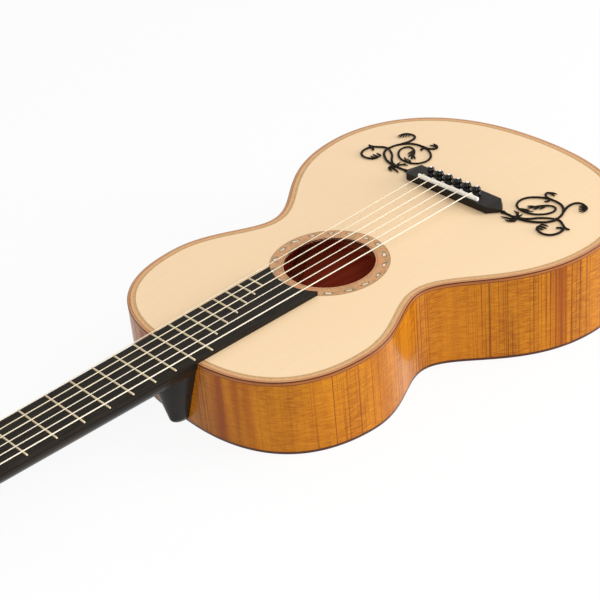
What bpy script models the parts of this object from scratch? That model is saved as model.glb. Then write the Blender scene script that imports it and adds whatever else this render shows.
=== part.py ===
"""Romantic guitar with six strings, a moustache bridge with vine scrolls, a cone heel and friction pegs.

The guitar lies on its flat back. The world origin is on the back's outer face, on the centreline, under the
saddle. +Y runs to the head, +X to the treble side and +Z up. What belongs to the top, neck and strings is laid
out in the strings' frame, in which the soundboard is level. That frame leans about X through the origin by
the taper of the ribs, so that the back comes out level.
"""

import math

import bmesh
import bpy
import numpy as np
from mathutils import Matrix, Vector

# Fits
GAP = 0.0003
PEG_CLEARANCE = 0.0004
PIN_HOLE_CLEARANCE = 0.0014
CUT_BEYOND = 0.0100

# Strings and scale
SCALE_LENGTH = 0.640
FRET_COUNT = 19
STRING_COUNT = 6
STRING_SPREAD_SADDLE = 0.0563
STRING_SPREAD_NUT = 0.0400
STRING_RADII = (0.00036, 0.00042, 0.00050, 0.00038, 0.00045, 0.00054)
STRING_ABOVE_BOARD_SADDLE = 0.0065
STRING_ABOVE_BOARD_NUT = 0.0016
STRING_TAIL = 0.004
STRING_BREAK = math.radians(50.0)
COIL_POINTS = 24
COIL_GAP = 0.00048

# Body
BODY_LENGTH = 0.4530
BODY_SETBACK = 0.0012
UPPER_BOUT_WIDTH = 0.2445
UPPER_BOUT_DOWN = 0.0984
WAIST_WIDTH = 0.1838
WAIST_DOWN = 0.1877
LOWER_BOUT_WIDTH = 0.3168
LOWER_BOUT_DOWN = 0.3338
TOP_REACH = 0.0162
UPPER_REACH_UP = 0.1090
UPPER_REACH_DOWN = 0.0394
WAIST_REACH_UP = 0.0241
WAIST_REACH_DOWN = 0.0363
LOWER_REACH_UP = 0.0856
LOWER_REACH_DOWN = 0.0364
TAIL_REACH = 0.1353
DEPTH_AT_HEEL = 0.0696
DEPTH_AT_TAIL = 0.0933
OUTLINE_STEPS = (8, 6, 7, 8)

# Plates, ribs and inner work
SOUNDBOARD_THICKNESS = 0.0028
BACK_THICKNESS = 0.0026
RIB_THICKNESS = 0.0022
BINDING_WIDTH = 0.0025
BINDING_HEIGHT = 0.0036
LINING_WIDTH = 0.0060
LINING_HEIGHT = 0.0120
BLOCK_CLEARANCE = 0.0010
NECK_BLOCK_WIDTH = 0.0700
NECK_BLOCK_LENGTH = 0.0300
TAIL_BLOCK_WIDTH = 0.0600
TAIL_BLOCK_LENGTH = 0.0150
BRACE_WIDTH = 0.0070
BRACE_HEIGHT = 0.0140
BRACE_END_HEIGHT = 0.0045
BRACE_SCOOP = 0.0350
TOP_BRACE_FROM_HOLE = 0.0720
BACK_BRACE_FROM_WAIST = 0.1050
SOUNDHOLE_RADIUS = 0.0398
SOUNDHOLE_DOWN = 0.1717
ROSETTE_RADIUS = 0.0523
ROSETTE_THICKNESS = 0.0010
ROUND_SIDES = 48

# Fretboard, frets and nut
NUT_WIDTH = 0.0470
BOARD_WIDTH_AT_BODY = 0.0567
BOARD_HEIGHT = 0.0044
BOARD_EDGE_RADIUS = 0.0007
BOARD_OVER_ROSETTE = 0.0010
FRET_WIDTH = 0.0013
FRET_PROUD = 0.0011
FRET_DEPTH = 0.0018
FRET_INSET = 0.0006
FIRST_SHORT_FRET = 14
SHORT_FRET_START = -0.0139
SHORT_FRET_SLANT = 0.348
NUT_LENGTH = 0.0050
NUT_PROUD = 0.0020
NUT_SLOT_WIDTH = 0.0020
NUT_SLOT_DIP = 0.0011
NUT_STRING_REST = 0.0015

# Neck, heel and head
NECK_DEPTH = 0.0160
NECK_SIDES = 32
HEEL_REACH = 0.0284
HEEL_REACH_AT_BACK = 0.0132
HEEL_WIDTH_AT_BACK = 0.0094
HEEL_ROUND_FROM = 0.90
HEEL_ROUND_SPAN = 0.11
HEEL_RINGS = 10
HEEL_SIDES = 24
HEEL_FLOOR_GAP = 0.0008
VOLUTE_LENGTH = 0.0300
HEAD_ANGLE = math.radians(5.0)
HEAD_THICKNESS = 0.0120
HEAD_LENGTH = 0.1500
HEAD_LOWER_LOBE_WIDTH = 0.0690
HEAD_WAIST_WIDTH = 0.0580
HEAD_UPPER_LOBE_WIDTH = 0.0740
HEAD_LOWER_LOBE_AT = 0.0380
HEAD_WAIST_AT = 0.0770
HEAD_UPPER_LOBE_AT = 0.1150
HEAD_TIP_FULLNESS = 0.6
HEAD_CORNER = 0.0015

# Tuning pegs, counted outwards from the nut on each side
PEG_ROWS = (0.0340, 0.0730, 0.1120)
PEG_SPREADS = (0.0440, 0.0400, 0.0380)
PEG_RADIUS = 0.0038
PEG_FRONT = 0.0130
PEG_COLLAR_RADIUS = 0.0058
PEG_COLLAR = 0.0025
PEG_KNOB_RADIUS = 0.0090
PEG_KNOB_LENGTH = 0.0105
PEG_KNOB_FACE_RADIUS = 0.0072
PEG_KNOB_EDGES = (0.0085, 0.0053, 0.0017)
PEG_STEM_RADIUS = 0.0030
PEG_BACK = 0.0180
PEG_SIDES = 16
COIL_TURNS = 2.5
COIL_ABOVE_HEAD = 0.0058

# Bridge, saddle and pins
BRIDGE_TREBLE_END = 0.0474
BRIDGE_BASS_END = 0.0496
BRIDGE_TIP_REACH = 0.0100
BRIDGE_FRONT = 0.0034
BRIDGE_BACK = -0.0186
BRIDGE_TIP_BACK = -0.0080
BRIDGE_HEIGHT = 0.0070
BRIDGE_TIP_HEIGHT = 0.0024
BRIDGE_SLOPE_IN = 0.0010
BRIDGE_EDGE = 0.0005
BRIDGE_PLATE_THICKNESS = 0.0025
BRIDGE_PLATE_MARGIN = 0.0060
SADDLE_LENGTH = 0.0706
SADDLE_SHIFT = -0.0018
SADDLE_WIDTH = 0.0026
SADDLE_SEAT = 0.0035
SADDLE_TURN = math.radians(1.5)
PIN_BEHIND_SADDLE = 0.0095
PIN_SHANK_RADIUS = 0.0019
PIN_COLLAR_RADIUS = 0.0043
PIN_BALL_RADIUS = 0.0036
PIN_WAIST_RADIUS = 0.0024
PIN_WAIST_DOWN = 0.0025
PIN_COLLAR_DOWN = 0.0028
PIN_HEAD_HEIGHT = 0.0083
PIN_LENGTH = 0.0190
PIN_POINT = 0.0010
PIN_TAPER = 0.85
PIN_SIDES = 12
PIN_SLOT_WIDTH = 0.0018
PIN_SLOT_LENGTH = 0.0030
PIN_SLOT_DEPTH = 0.0034

# Vine scrolls beside the bridge. Their drawing gives outward and lengthwise places in its own unit.
SCROLL_UNIT = 0.0010
BASS_SCROLL_SHIFT = 0.0020
STRAND_RADIUS = 0.0011
STRAND_FLATTEN = 0.70
LEAF_SINK = 0.97
STRANDS = {
    "spiral": (
        (59.0, -7.8), (62.0, -7.6), (70.0, -7.4), (78.0, -8.0), (86.0, -10.2),
        (92.5, -14.0), (98.5, -19.0), (101.8, -25.0), (101.8, -32.5), (100.0, -39.0),
        (95.5, -45.5), (89.5, -49.8), (82.5, -51.4), (75.0, -51.0), (68.0, -48.7),
        (61.0, -43.8), (57.2, -38.0), (56.6, -31.5), (59.2, -25.2), (64.5, -21.4),
        (71.5, -20.2), (78.5, -21.2), (85.0, -24.8), (90.0, -30.5), (91.8, -37.0),
        (89.5, -42.2), (85.0, -42.8), (79.5, -38.8), (75.5, -32.0), (72.2, -27.8),
        (69.0, -28.2),
    ),
    "eye": (
        (72.0, -8.0), (79.0, -10.6), (84.5, -15.0), (89.0, -20.2), (94.5, -24.5),
        (101.0, -28.0),
    ),
    "tendril": (
        (98.5, -42.5), (97.0, -48.0), (96.3, -53.5), (97.0, -58.5), (100.0, -61.8),
        (104.5, -62.0), (108.5, -60.0), (110.8, -56.0),
    ),
    "top_curl": (
        (76.5, -51.0), (71.2, -52.5), (68.7, -55.8), (69.7, -59.2), (73.5, -58.8),
        (76.0, -57.5),
    ),
    "inner_curl": ((75.5, -50.5), (75.8, -46.0), (76.2, -43.5)),
    "branch": (
        (101.5, -28.0), (106.5, -26.8), (111.5, -24.6), (116.0, -22.0), (119.5, -20.6),
        (122.2, -21.2),
    ),
    "bud_curl": (
        (115.0, -22.5), (117.3, -17.5), (117.8, -12.0), (116.5, -7.0), (113.0, -3.5),
        (108.0, -2.0), (103.5, -3.2), (100.8, -6.2),
    ),
    "front_sprig": ((72.2, -7.2), (74.5, -4.2), (72.5, -1.4), (67.5, -0.4)),
}
# Leaves of the scrolls: centre, half sizes and turn
LEAVES = {
    "bud": ((102.5, -9.2), (3.6, 4.2), 20.0),
    "back_leaf": ((68.8, -12.2), (5.6, 2.0), 38.0),
    "front_leaf": ((68.2, -0.6), (5.6, 1.7), -8.0),
    "heart_leaf": ((73.8, -30.0), (2.2, 5.2), -25.0),
    "far_leaf": ((110.5, -54.0), (2.2, 5.0), 6.0),
    "stem_leaf": ((60.0, -26.8), (1.8, 4.2), -35.0),
}

BODY_TOP_Y = SCALE_LENGTH / 2 - BODY_SETBACK
TAIL_Y = BODY_TOP_Y - BODY_LENGTH
SOUNDHOLE_Y = BODY_TOP_Y - SOUNDHOLE_DOWN
TAPER_SLOPE = (DEPTH_AT_TAIL - DEPTH_AT_HEEL) / BODY_LENGTH
TAPER = math.atan(TAPER_SLOPE)
TOP_Z = DEPTH_AT_TAIL + TAPER_SLOPE * TAIL_Y
BOARD_Z = TOP_Z + BOARD_HEIGHT
BRIDGE_TOP_Z = TOP_Z + GAP + BRIDGE_HEIGHT
NUT_END_Y = SCALE_LENGTH + NUT_LENGTH
SADDLE_CREST_Z = BOARD_Z + STRING_ABOVE_BOARD_SADDLE
PIN_Y = -PIN_BEHIND_SADDLE
PIN_HOLE_RADIUS = PIN_SHANK_RADIUS + PIN_HOLE_CLEARANCE

INK = (0.012, 0.011, 0.011)
EBONY = (0.016, 0.014, 0.013)
SPRUCE = (0.86, 0.62, 0.38)
MAPLE = (0.50, 0.20, 0.045)
ROSEWOOD = (0.10, 0.030, 0.014)
PLAIN_WOOD = (0.60, 0.42, 0.24)
BONE = (0.86, 0.83, 0.74)
BURL = (0.50, 0.27, 0.10)
GUT = (0.80, 0.74, 0.62)


def clear_scene():
    for obj in list(bpy.data.objects):
        bpy.data.objects.remove(obj)


def make_material(name, color, roughness):
    material = bpy.data.materials.new(name)
    material.use_nodes = True
    shader = material.node_tree.nodes["Principled BSDF"]
    shader.inputs["Base Color"].default_value = (*color, 1.0)
    shader.inputs["Roughness"].default_value = roughness
    return material


def make_collection(name):
    collection = bpy.data.collections.new(name)
    bpy.context.scene.collection.children.link(collection)
    return collection


clear_scene()
PARTS = make_collection("romantic_guitar")
CUTTERS = make_collection("cutters")
STRING_FRAME = bpy.data.objects.new("string_frame", None)
STRING_FRAME.rotation_euler = (-TAPER, 0.0, 0.0)
PARTS.objects.link(STRING_FRAME)
HEAD_FRAME = bpy.data.objects.new("head_frame", None)
HEAD_FRAME.parent = STRING_FRAME
HEAD_FRAME.location = (0.0, SCALE_LENGTH, TOP_Z)
HEAD_FRAME.rotation_euler = (-HEAD_ANGLE, 0.0, 0.0)
PARTS.objects.link(HEAD_FRAME)


def add_part(name, data, material, parent):
    """A named piece of the guitar."""
    obj = bpy.data.objects.new(name, data)
    obj.parent = parent
    data.materials.append(material)
    PARTS.objects.link(obj)
    return obj


def add_cutter(name, data, parent):
    """A helper solid that is cut away from a piece or joined to it."""
    obj = bpy.data.objects.new(name, data)
    obj.parent = parent
    obj.hide_render = True
    obj.display_type = "WIRE"
    CUTTERS.objects.link(obj)
    return obj


def boolean(obj, other, operation="DIFFERENCE"):
    modifier = obj.modifiers.new(other.name, "BOOLEAN")
    modifier.object = other
    modifier.operation = operation


def mesh_from(name, build):
    """A mesh filled by a function that takes an empty bmesh."""
    mesh = bpy.data.meshes.new(name)
    bm = bmesh.new()
    build(bm)
    bm.to_mesh(mesh)
    bm.free()
    return mesh


def baked_curve(name, curve):
    """The curve's own mesh with its caps welded to its sides."""
    holder = bpy.data.objects.new(name + "_curve", curve)
    bpy.context.scene.collection.objects.link(holder)
    graph = bpy.context.evaluated_depsgraph_get()
    mesh = bpy.data.meshes.new_from_object(holder.evaluated_get(graph))
    mesh.name = name
    bpy.data.objects.remove(holder)
    bm = bmesh.new()
    bm.from_mesh(mesh)
    bmesh.ops.remove_doubles(bm, verts=bm.verts, dist=0.00001)
    bmesh.ops.recalc_face_normals(bm, faces=bm.faces)
    bm.to_mesh(mesh)
    bm.free()
    return mesh


def plate_mesh(name, loops, bottom, top):
    """A flat plate between two heights. The first loop is its edge and the others are holes."""
    curve = bpy.data.curves.new(name, "CURVE")
    curve.dimensions = "2D"
    curve.fill_mode = "BOTH"
    curve.extrude = (top - bottom) / 2
    for loop in loops:
        spline = curve.splines.new("POLY")
        spline.points.add(len(loop) - 1)
        for point, (x, y) in zip(spline.points, loop):
            point.co = (x, y, 0.0, 1.0)
        spline.use_cyclic_u = True
    mesh = baked_curve(name, curve)
    mesh.transform(Matrix.Translation((0.0, 0.0, (top + bottom) / 2)))
    return mesh


def tube_mesh(name, points, radius, bevel_resolution=1):
    """A tube of one radius along points joined by straight runs."""
    curve = bpy.data.curves.new(name, "CURVE")
    curve.dimensions = "3D"
    curve.bevel_depth = radius
    curve.bevel_resolution = bevel_resolution
    curve.use_fill_caps = True
    spline = curve.splines.new("POLY")
    spline.points.add(len(points) - 1)
    for point, place in zip(spline.points, points):
        point.co = (*place, 1.0)
    return baked_curve(name, curve)


def boxes_mesh(name, boxes):
    """One mesh of separate boxes, each given by its centre, size and turn about Z."""

    def build(bm):
        for centre, size, turn in boxes:
            place = Matrix.Translation(centre) @ Matrix.Rotation(turn, 4, "Z") @ Matrix.Diagonal((*size, 1.0))
            bmesh.ops.create_cube(bm, size=1.0, matrix=place)

    return mesh_from(name, build)


def cylinders_mesh(name, centres, radius, bottom, top, sides):
    """One mesh of separate upright cylinders."""

    def build(bm):
        for x, y in centres:
            bmesh.ops.create_cone(
                bm, cap_ends=True, segments=sides, radius1=radius, radius2=radius, depth=top - bottom,
                matrix=Matrix.Translation((x, y, (top + bottom) / 2)),
            )

    return mesh_from(name, build)


def turned_mesh_object(name, profile, sides, material, parent):
    """A turned piece about its own Z. The profile's (radius, height) points run top to bottom."""
    mesh = bpy.data.meshes.new(name)
    mesh.from_pydata([(r, 0.0, z) for r, z in profile], [(i, i + 1) for i in range(len(profile) - 1)], [])
    obj = add_part(name, mesh, material, parent)
    screw = obj.modifiers.new("turn", "SCREW")
    screw.steps = sides
    screw.render_steps = sides
    screw.use_merge_vertices = True
    screw.merge_threshold = 0.00005
    screw.use_smooth_shade = True
    return obj


def bezier(p0, p1, p2, p3, steps):
    """Points on a cubic curve, without its last one."""
    t = np.linspace(0.0, 1.0, steps, endpoint=False)[:, None]
    p0, p1, p2, p3 = (np.array(p) for p in (p0, p1, p2, p3))
    return (1 - t) ** 3 * p0 + 3 * (1 - t) ** 2 * t * p1 + 3 * (1 - t) * t**2 * p2 + t**3 * p3


def half_outline():
    """The body's edge on the treble side, from the neck to the tail, both ends on the centreline."""
    upper = np.array((UPPER_BOUT_WIDTH / 2, BODY_TOP_Y - UPPER_BOUT_DOWN))
    waist = np.array((WAIST_WIDTH / 2, BODY_TOP_Y - WAIST_DOWN))
    lower = np.array((LOWER_BOUT_WIDTH / 2, BODY_TOP_Y - LOWER_BOUT_DOWN))
    top = np.array((0.0, BODY_TOP_Y))
    tail = np.array((0.0, TAIL_Y))
    up = np.array((0.0, 1.0))
    out = np.array((1.0, 0.0))
    runs = (
        bezier(top, top + TOP_REACH * out, upper + UPPER_REACH_UP * up, upper, OUTLINE_STEPS[0]),
        bezier(upper, upper - UPPER_REACH_DOWN * up, waist + WAIST_REACH_UP * up, waist, OUTLINE_STEPS[1]),
        bezier(waist, waist - WAIST_REACH_DOWN * up, lower + LOWER_REACH_UP * up, lower, OUTLINE_STEPS[2]),
        bezier(lower, lower - LOWER_REACH_DOWN * up, tail + TAIL_REACH * out, tail, OUTLINE_STEPS[3]),
    )
    return np.concatenate((*runs, tail[None, :]))


def body_outline(inset=0.0):
    """The whole edge as a closed loop, moved inwards by the inset."""
    half = half_outline()
    loop = np.concatenate((half, half[-2:0:-1] * (-1.0, 1.0)))
    ahead = np.roll(loop, -1, axis=0) - np.roll(loop, 1, axis=0)
    ahead /= np.linalg.norm(ahead, axis=1)[:, None]
    inward = np.column_stack((ahead[:, 1], -ahead[:, 0]))
    return loop + inset * inward


def half_width(y, inset):
    """Half the body's width at a height along the centreline."""
    loop = body_outline(inset)
    side = loop[loop[:, 0] >= 0]
    side = side[np.argsort(side[:, 1])]
    return float(np.interp(y, side[:, 1], side[:, 0]))


def circle(radius, y, sides=ROUND_SIDES):
    turn = np.arange(sides) * 2 * math.pi / sides
    return np.column_stack((radius * np.cos(turn), y + radius * np.sin(turn)))


def board_half_width(y):
    slope = (BOARD_WIDTH_AT_BODY - NUT_WIDTH) / 2 / (SCALE_LENGTH / 2)
    return NUT_WIDTH / 2 + slope * (SCALE_LENGTH - y)


def fret_y(number):
    return SCALE_LENGTH * 2 ** (-number / 12)


def string_share(index):
    """From +0.5 at the first, treble string to -0.5 at the last."""
    return 0.5 - index / (STRING_COUNT - 1)


def back_loop(inset):
    """The body's edge in the plane of the back, which the ribs meet at the taper's slant."""
    return body_outline(inset) * (1.0, 1.0 / math.cos(TAPER))


def make_plates(spruce, maple):
    inside = BINDING_WIDTH + GAP
    soundboard = add_part(
        "soundboard",
        plate_mesh(
            "soundboard",
            [body_outline(inside), circle(SOUNDHOLE_RADIUS, SOUNDHOLE_Y)],
            TOP_Z - SOUNDBOARD_THICKNESS,
            TOP_Z,
        ),
        spruce,
        STRING_FRAME,
    )
    recess = cylinders_mesh(
        "rosette_recess", [(0.0, SOUNDHOLE_Y)], ROSETTE_RADIUS + GAP,
        TOP_Z - ROSETTE_THICKNESS - GAP, TOP_Z + CUT_BEYOND, ROUND_SIDES,
    )
    boolean(soundboard, add_cutter("rosette_recess", recess, STRING_FRAME))
    boolean(soundboard, pin_hole_cutter())
    add_part("back", plate_mesh("back", [back_loop(inside)], 0.0, BACK_THICKNESS), maple, None)


def pin_places():
    return [(string_share(i) * STRING_SPREAD_SADDLE, PIN_Y) for i in range(STRING_COUNT)]


def pin_hole_cutter():
    """The six pin holes, straight down through bridge, soundboard and bridge plate."""
    if "pin_holes" in bpy.data.objects:
        return bpy.data.objects["pin_holes"]
    bottom = TOP_Z - SOUNDBOARD_THICKNESS - BRIDGE_PLATE_THICKNESS - CUT_BEYOND
    top = BRIDGE_TOP_Z + CUT_BEYOND
    mesh = cylinders_mesh("pin_holes", pin_places(), PIN_HOLE_RADIUS, bottom, top, PIN_SIDES)
    return add_cutter("pin_holes", mesh, STRING_FRAME)


def rib_object(name, side, material):
    """One bent rib: a strip that follows half the outline, from under the top binding to the back binding."""
    half = half_outline()
    half[:, 0] = np.maximum(half[:, 0], GAP) * side
    top = TOP_Z - BINDING_HEIGHT - GAP
    cosine = math.cos(TAPER)
    lift = (BACK_THICKNESS + GAP) / cosine
    rows = [(x, y, top) for x, y in half] + [(x, y, y * TAPER_SLOPE + lift) for x, y in half]
    count = len(half)
    faces = [(i, i + 1, count + i + 1, count + i) for i in range(count - 1)]
    if side < 0:
        faces = [face[::-1] for face in faces]
    mesh = bpy.data.meshes.new(name)
    mesh.from_pydata(rows, [], faces)
    rib = add_part(name, mesh, material, STRING_FRAME)
    wall = rib.modifiers.new("wall", "SOLIDIFY")
    wall.thickness = RIB_THICKNESS
    wall.offset = -1.0
    wall.use_rim = True


def make_ribs_and_bindings(maple, rosewood, wood):
    rib_object("ribs_treble", 1.0, maple)
    rib_object("ribs_bass", -1.0, maple)
    loops = [body_outline(0.0), body_outline(BINDING_WIDTH)]
    binding = plate_mesh("top_binding", loops, TOP_Z - BINDING_HEIGHT, TOP_Z)
    add_part("top_binding", binding, rosewood, STRING_FRAME)
    loops = [back_loop(0.0), back_loop(BINDING_WIDTH)]
    add_part("back_binding", plate_mesh("back_binding", loops, 0.0, BACK_THICKNESS), rosewood, None)
    outer = RIB_THICKNESS + BLOCK_CLEARANCE
    under_top = TOP_Z - SOUNDBOARD_THICKNESS - GAP
    loops = [body_outline(outer), body_outline(outer + LINING_WIDTH)]
    lining = plate_mesh("top_lining", loops, under_top - LINING_HEIGHT, under_top)
    add_part("top_lining", lining, wood, STRING_FRAME)
    loops = [back_loop(outer), back_loop(outer + LINING_WIDTH)]
    floor = BACK_THICKNESS + GAP
    add_part("back_lining", plate_mesh("back_lining", loops, floor, floor + LINING_HEIGHT), wood, None)


def block_object(name, width, length, end, material):
    """A block inside one end of the body (+1 at the neck, -1 at the tail), between the linings. Its outer face
    follows the ribs."""
    loop = body_outline(RIB_THICKNESS + BLOCK_CLEARANCE)
    far = loop[(loop[:, 1] - (BODY_TOP_Y + TAIL_Y) / 2) * end > 0]
    far = far[np.argsort(far[:, 0])]
    half = width / 2
    face = far[np.abs(far[:, 0]) < half]
    corner_y = float(np.interp(half, far[:, 0], far[:, 1]))
    inner_y = float(face[:, 1].max() if end > 0 else face[:, 1].min()) - end * length
    edge = [(-half, inner_y), (-half, corner_y), *map(tuple, face), (half, corner_y), (half, inner_y)]
    top = TOP_Z - SOUNDBOARD_THICKNESS - LINING_HEIGHT - BLOCK_CLEARANCE
    highest = max(y for x, y in edge) * TAPER_SLOPE
    bottom = highest + BACK_THICKNESS + LINING_HEIGHT + 2 * BLOCK_CLEARANCE
    add_part(name, plate_mesh(name, [edge], bottom, top), material, STRING_FRAME)


def brace_mesh(name, half_length, bottom, top, towards_top):
    """A brace whose ends are scooped down to a thin foot, as a side view drawn across the body."""
    foot = BRACE_END_HEIGHT
    scoop = min(BRACE_SCOOP, half_length / 2)
    steps = 4
    end = []
    for i in range(steps + 1):
        t = i / steps
        end.append((half_length - scoop * t, foot + (BRACE_HEIGHT - foot) * t * t * (3 - 2 * t)))
    side = [(half_length, 0.0)] + end
    loop = [(-x, z) for x, z in side] + [(x, z) for x, z in reversed(side)]
    mesh = plate_mesh(name, [loop], -BRACE_WIDTH / 2, BRACE_WIDTH / 2)
    turn = math.pi / 2 if towards_top else -math.pi / 2
    seat = bottom if towards_top else top
    mesh.transform(Matrix.Translation((0.0, 0.0, seat)) @ Matrix.Rotation(turn, 4, "X"))
    return mesh


def make_inner_work(wood, spruce):
    rib_face = RIB_THICKNESS + BLOCK_CLEARANCE
    block_object("neck_block", NECK_BLOCK_WIDTH, NECK_BLOCK_LENGTH, 1, wood)
    block_object("tail_block", TAIL_BLOCK_WIDTH, TAIL_BLOCK_LENGTH, -1, wood)
    lining_face = rib_face + LINING_WIDTH + BLOCK_CLEARANCE
    under_top = TOP_Z - SOUNDBOARD_THICKNESS - GAP
    for name, y in (
        ("top_brace_upper", SOUNDHOLE_Y + TOP_BRACE_FROM_HOLE),
        ("top_brace_lower", SOUNDHOLE_Y - TOP_BRACE_FROM_HOLE),
    ):
        reach = min(half_width(y - BRACE_WIDTH / 2, lining_face), half_width(y + BRACE_WIDTH / 2, lining_face))
        mesh = brace_mesh(name, reach, 0.0, under_top, False)
        mesh.transform(Matrix.Translation((0.0, y, 0.0)))
        add_part(name, mesh, spruce, STRING_FRAME)
    waist_y = BODY_TOP_Y - WAIST_DOWN
    for name, y in (
        ("back_brace_upper", waist_y + BACK_BRACE_FROM_WAIST),
        ("back_brace_lower", waist_y - BACK_BRACE_FROM_WAIST),
    ):
        reach = min(half_width(y - BRACE_WIDTH / 2, lining_face), half_width(y + BRACE_WIDTH / 2, lining_face))
        mesh = brace_mesh(name, reach, BACK_THICKNESS + GAP, 0.0, True)
        mesh.transform(Matrix.Translation((0.0, y, 0.0)))
        add_part(name, mesh, spruce, None)
    plate_y = (BRIDGE_FRONT + BRIDGE_BACK) / 2
    length = BRIDGE_TREBLE_END + BRIDGE_BASS_END + 2 * BRIDGE_PLATE_MARGIN
    size = (length, BRIDGE_FRONT - BRIDGE_BACK + 2 * BRIDGE_PLATE_MARGIN, BRIDGE_PLATE_THICKNESS)
    centre = (0.0, plate_y, under_top - BRIDGE_PLATE_THICKNESS / 2)
    plate = add_part("bridge_plate", boxes_mesh("bridge_plate", [(centre, size, 0.0)]), wood, STRING_FRAME)
    boolean(plate, pin_hole_cutter())


def make_rosette(burl):
    loops = [circle(ROSETTE_RADIUS, SOUNDHOLE_Y), circle(SOUNDHOLE_RADIUS, SOUNDHOLE_Y)]
    mesh = plate_mesh("rosette", loops, TOP_Z - ROSETTE_THICKNESS, TOP_Z)
    add_part("rosette", mesh, burl, STRING_FRAME)


def bridge_end(side):
    """The outward place where the bridge's straight part ends, on the treble (+1) or bass (-1) side."""
    return BRIDGE_TREBLE_END if side > 0 else -BRIDGE_BASS_END


def make_bridge(ebony, bone):
    """A long block with pointed ends that slope down to the scrolls."""
    floor = TOP_Z + GAP

    def build(bm):
        corners = []
        for side in (-1.0, 1.0):
            end = bridge_end(side)
            tip = end + side * BRIDGE_TIP_REACH
            corners += [
                (end, BRIDGE_FRONT, floor),
                (tip, BRIDGE_TIP_BACK, floor),
                (tip, BRIDGE_TIP_BACK, floor + BRIDGE_TIP_HEIGHT),
                (end + side * BRIDGE_SLOPE_IN, BRIDGE_BACK, floor),
                (end, BRIDGE_FRONT, BRIDGE_TOP_Z),
                (end, BRIDGE_BACK + BRIDGE_SLOPE_IN, BRIDGE_TOP_Z),
            ]
        bmesh.ops.convex_hull(bm, input=[bm.verts.new(corner) for corner in corners])
        bmesh.ops.dissolve_limit(bm, angle_limit=math.radians(1.0), verts=bm.verts, edges=bm.edges)

    bridge = add_part("bridge", mesh_from("bridge", build), ebony, STRING_FRAME)
    edge = bridge.modifiers.new("edge", "BEVEL")
    edge.width = BRIDGE_EDGE
    edge.segments = 1
    seat_size = (SADDLE_LENGTH + 2 * GAP, SADDLE_WIDTH + 2 * GAP, 2 * SADDLE_SEAT)
    seat_centre = (SADDLE_SHIFT, SADDLE_SHIFT * math.tan(SADDLE_TURN), BRIDGE_TOP_Z)
    seat = boxes_mesh("saddle_seat", [(seat_centre, seat_size, SADDLE_TURN)])
    boolean(bridge, add_cutter("saddle_seat", seat, STRING_FRAME))
    boolean(bridge, pin_hole_cutter())
    slots = []
    for x, y in pin_places():
        centre = (x, y + PIN_HOLE_RADIUS + PIN_SLOT_LENGTH / 2 - BRIDGE_EDGE, BRIDGE_TOP_Z)
        slots.append((centre, (PIN_SLOT_WIDTH, PIN_SLOT_LENGTH + BRIDGE_EDGE, 2 * PIN_SLOT_DEPTH), 0.0))
    boolean(bridge, add_cutter("string_ramps", boxes_mesh("string_ramps", slots), STRING_FRAME))

    radius = SADDLE_WIDTH / 2
    crown = SADDLE_CREST_Z - radius
    bottom = BRIDGE_TOP_Z - SADDLE_SEAT + GAP
    steps = 8
    arc = [math.pi * i / steps for i in range(steps + 1)]
    section = [(radius * math.cos(a), crown + radius * math.sin(a)) for a in arc]
    section += [(-radius, bottom), (radius, bottom)]
    middle = SADDLE_SHIFT / math.cos(SADDLE_TURN)
    mesh = plate_mesh("saddle", [section], middle - SADDLE_LENGTH / 2, middle + SADDLE_LENGTH / 2)
    # The section is drawn across the bridge's width and stood up along its length.
    stand = Matrix(((0, 0, 1, 0), (1, 0, 0, 0), (0, 1, 0, 0), (0, 0, 0, 1)))
    mesh.transform(Matrix.Rotation(SADDLE_TURN, 4, "Z") @ stand)
    add_part("saddle", mesh, bone, STRING_FRAME)


def make_pins(ebony):
    """Bridge pins: a ball on a collar over a tapered shank, each with its origin where its collar sits."""
    ball_z = PIN_HEAD_HEIGHT - PIN_BALL_RADIUS
    dome = [
        (PIN_BALL_RADIUS * math.sin(a), ball_z + PIN_BALL_RADIUS * math.cos(a))
        for a in (math.radians(d) for d in (0, 30, 60, 90, 120))
    ]
    profile = dome + [
        (PIN_WAIST_RADIUS, ball_z - PIN_WAIST_DOWN),
        (PIN_COLLAR_RADIUS, ball_z - PIN_COLLAR_DOWN),
        (PIN_COLLAR_RADIUS, GAP + BRIDGE_EDGE),
        (PIN_COLLAR_RADIUS - BRIDGE_EDGE, GAP),
        (PIN_SHANK_RADIUS, GAP),
        (PIN_SHANK_RADIUS * PIN_TAPER, PIN_POINT - PIN_LENGTH),
        (0.0, -PIN_LENGTH),
    ]
    for number, (x, y) in enumerate(pin_places(), start=1):
        pin = turned_mesh_object(f"bridge_pin_{number}", profile, PIN_SIDES, ebony, STRING_FRAME)
        pin.location = (x, y, BRIDGE_TOP_Z)


def scroll_place(x, y, side):
    """A point of the scrolls' drawing on the soundboard."""
    shift = 0.0 if side > 0 else BASS_SCROLL_SHIFT
    return side * (x * SCROLL_UNIT + shift), y * SCROLL_UNIT


def scroll_tube(name, points, side):
    """One flattened strand of a vine scroll, resting on the soundboard."""
    z = TOP_Z + GAP + STRAND_RADIUS * STRAND_FLATTEN
    mesh = tube_mesh(name, [(*scroll_place(x, y, side), 0.0) for x, y in points], STRAND_RADIUS)
    mesh.transform(Matrix.Translation((0.0, 0.0, z)) @ Matrix.Diagonal((1.0, 1.0, STRAND_FLATTEN, 1.0)))
    return mesh


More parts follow.
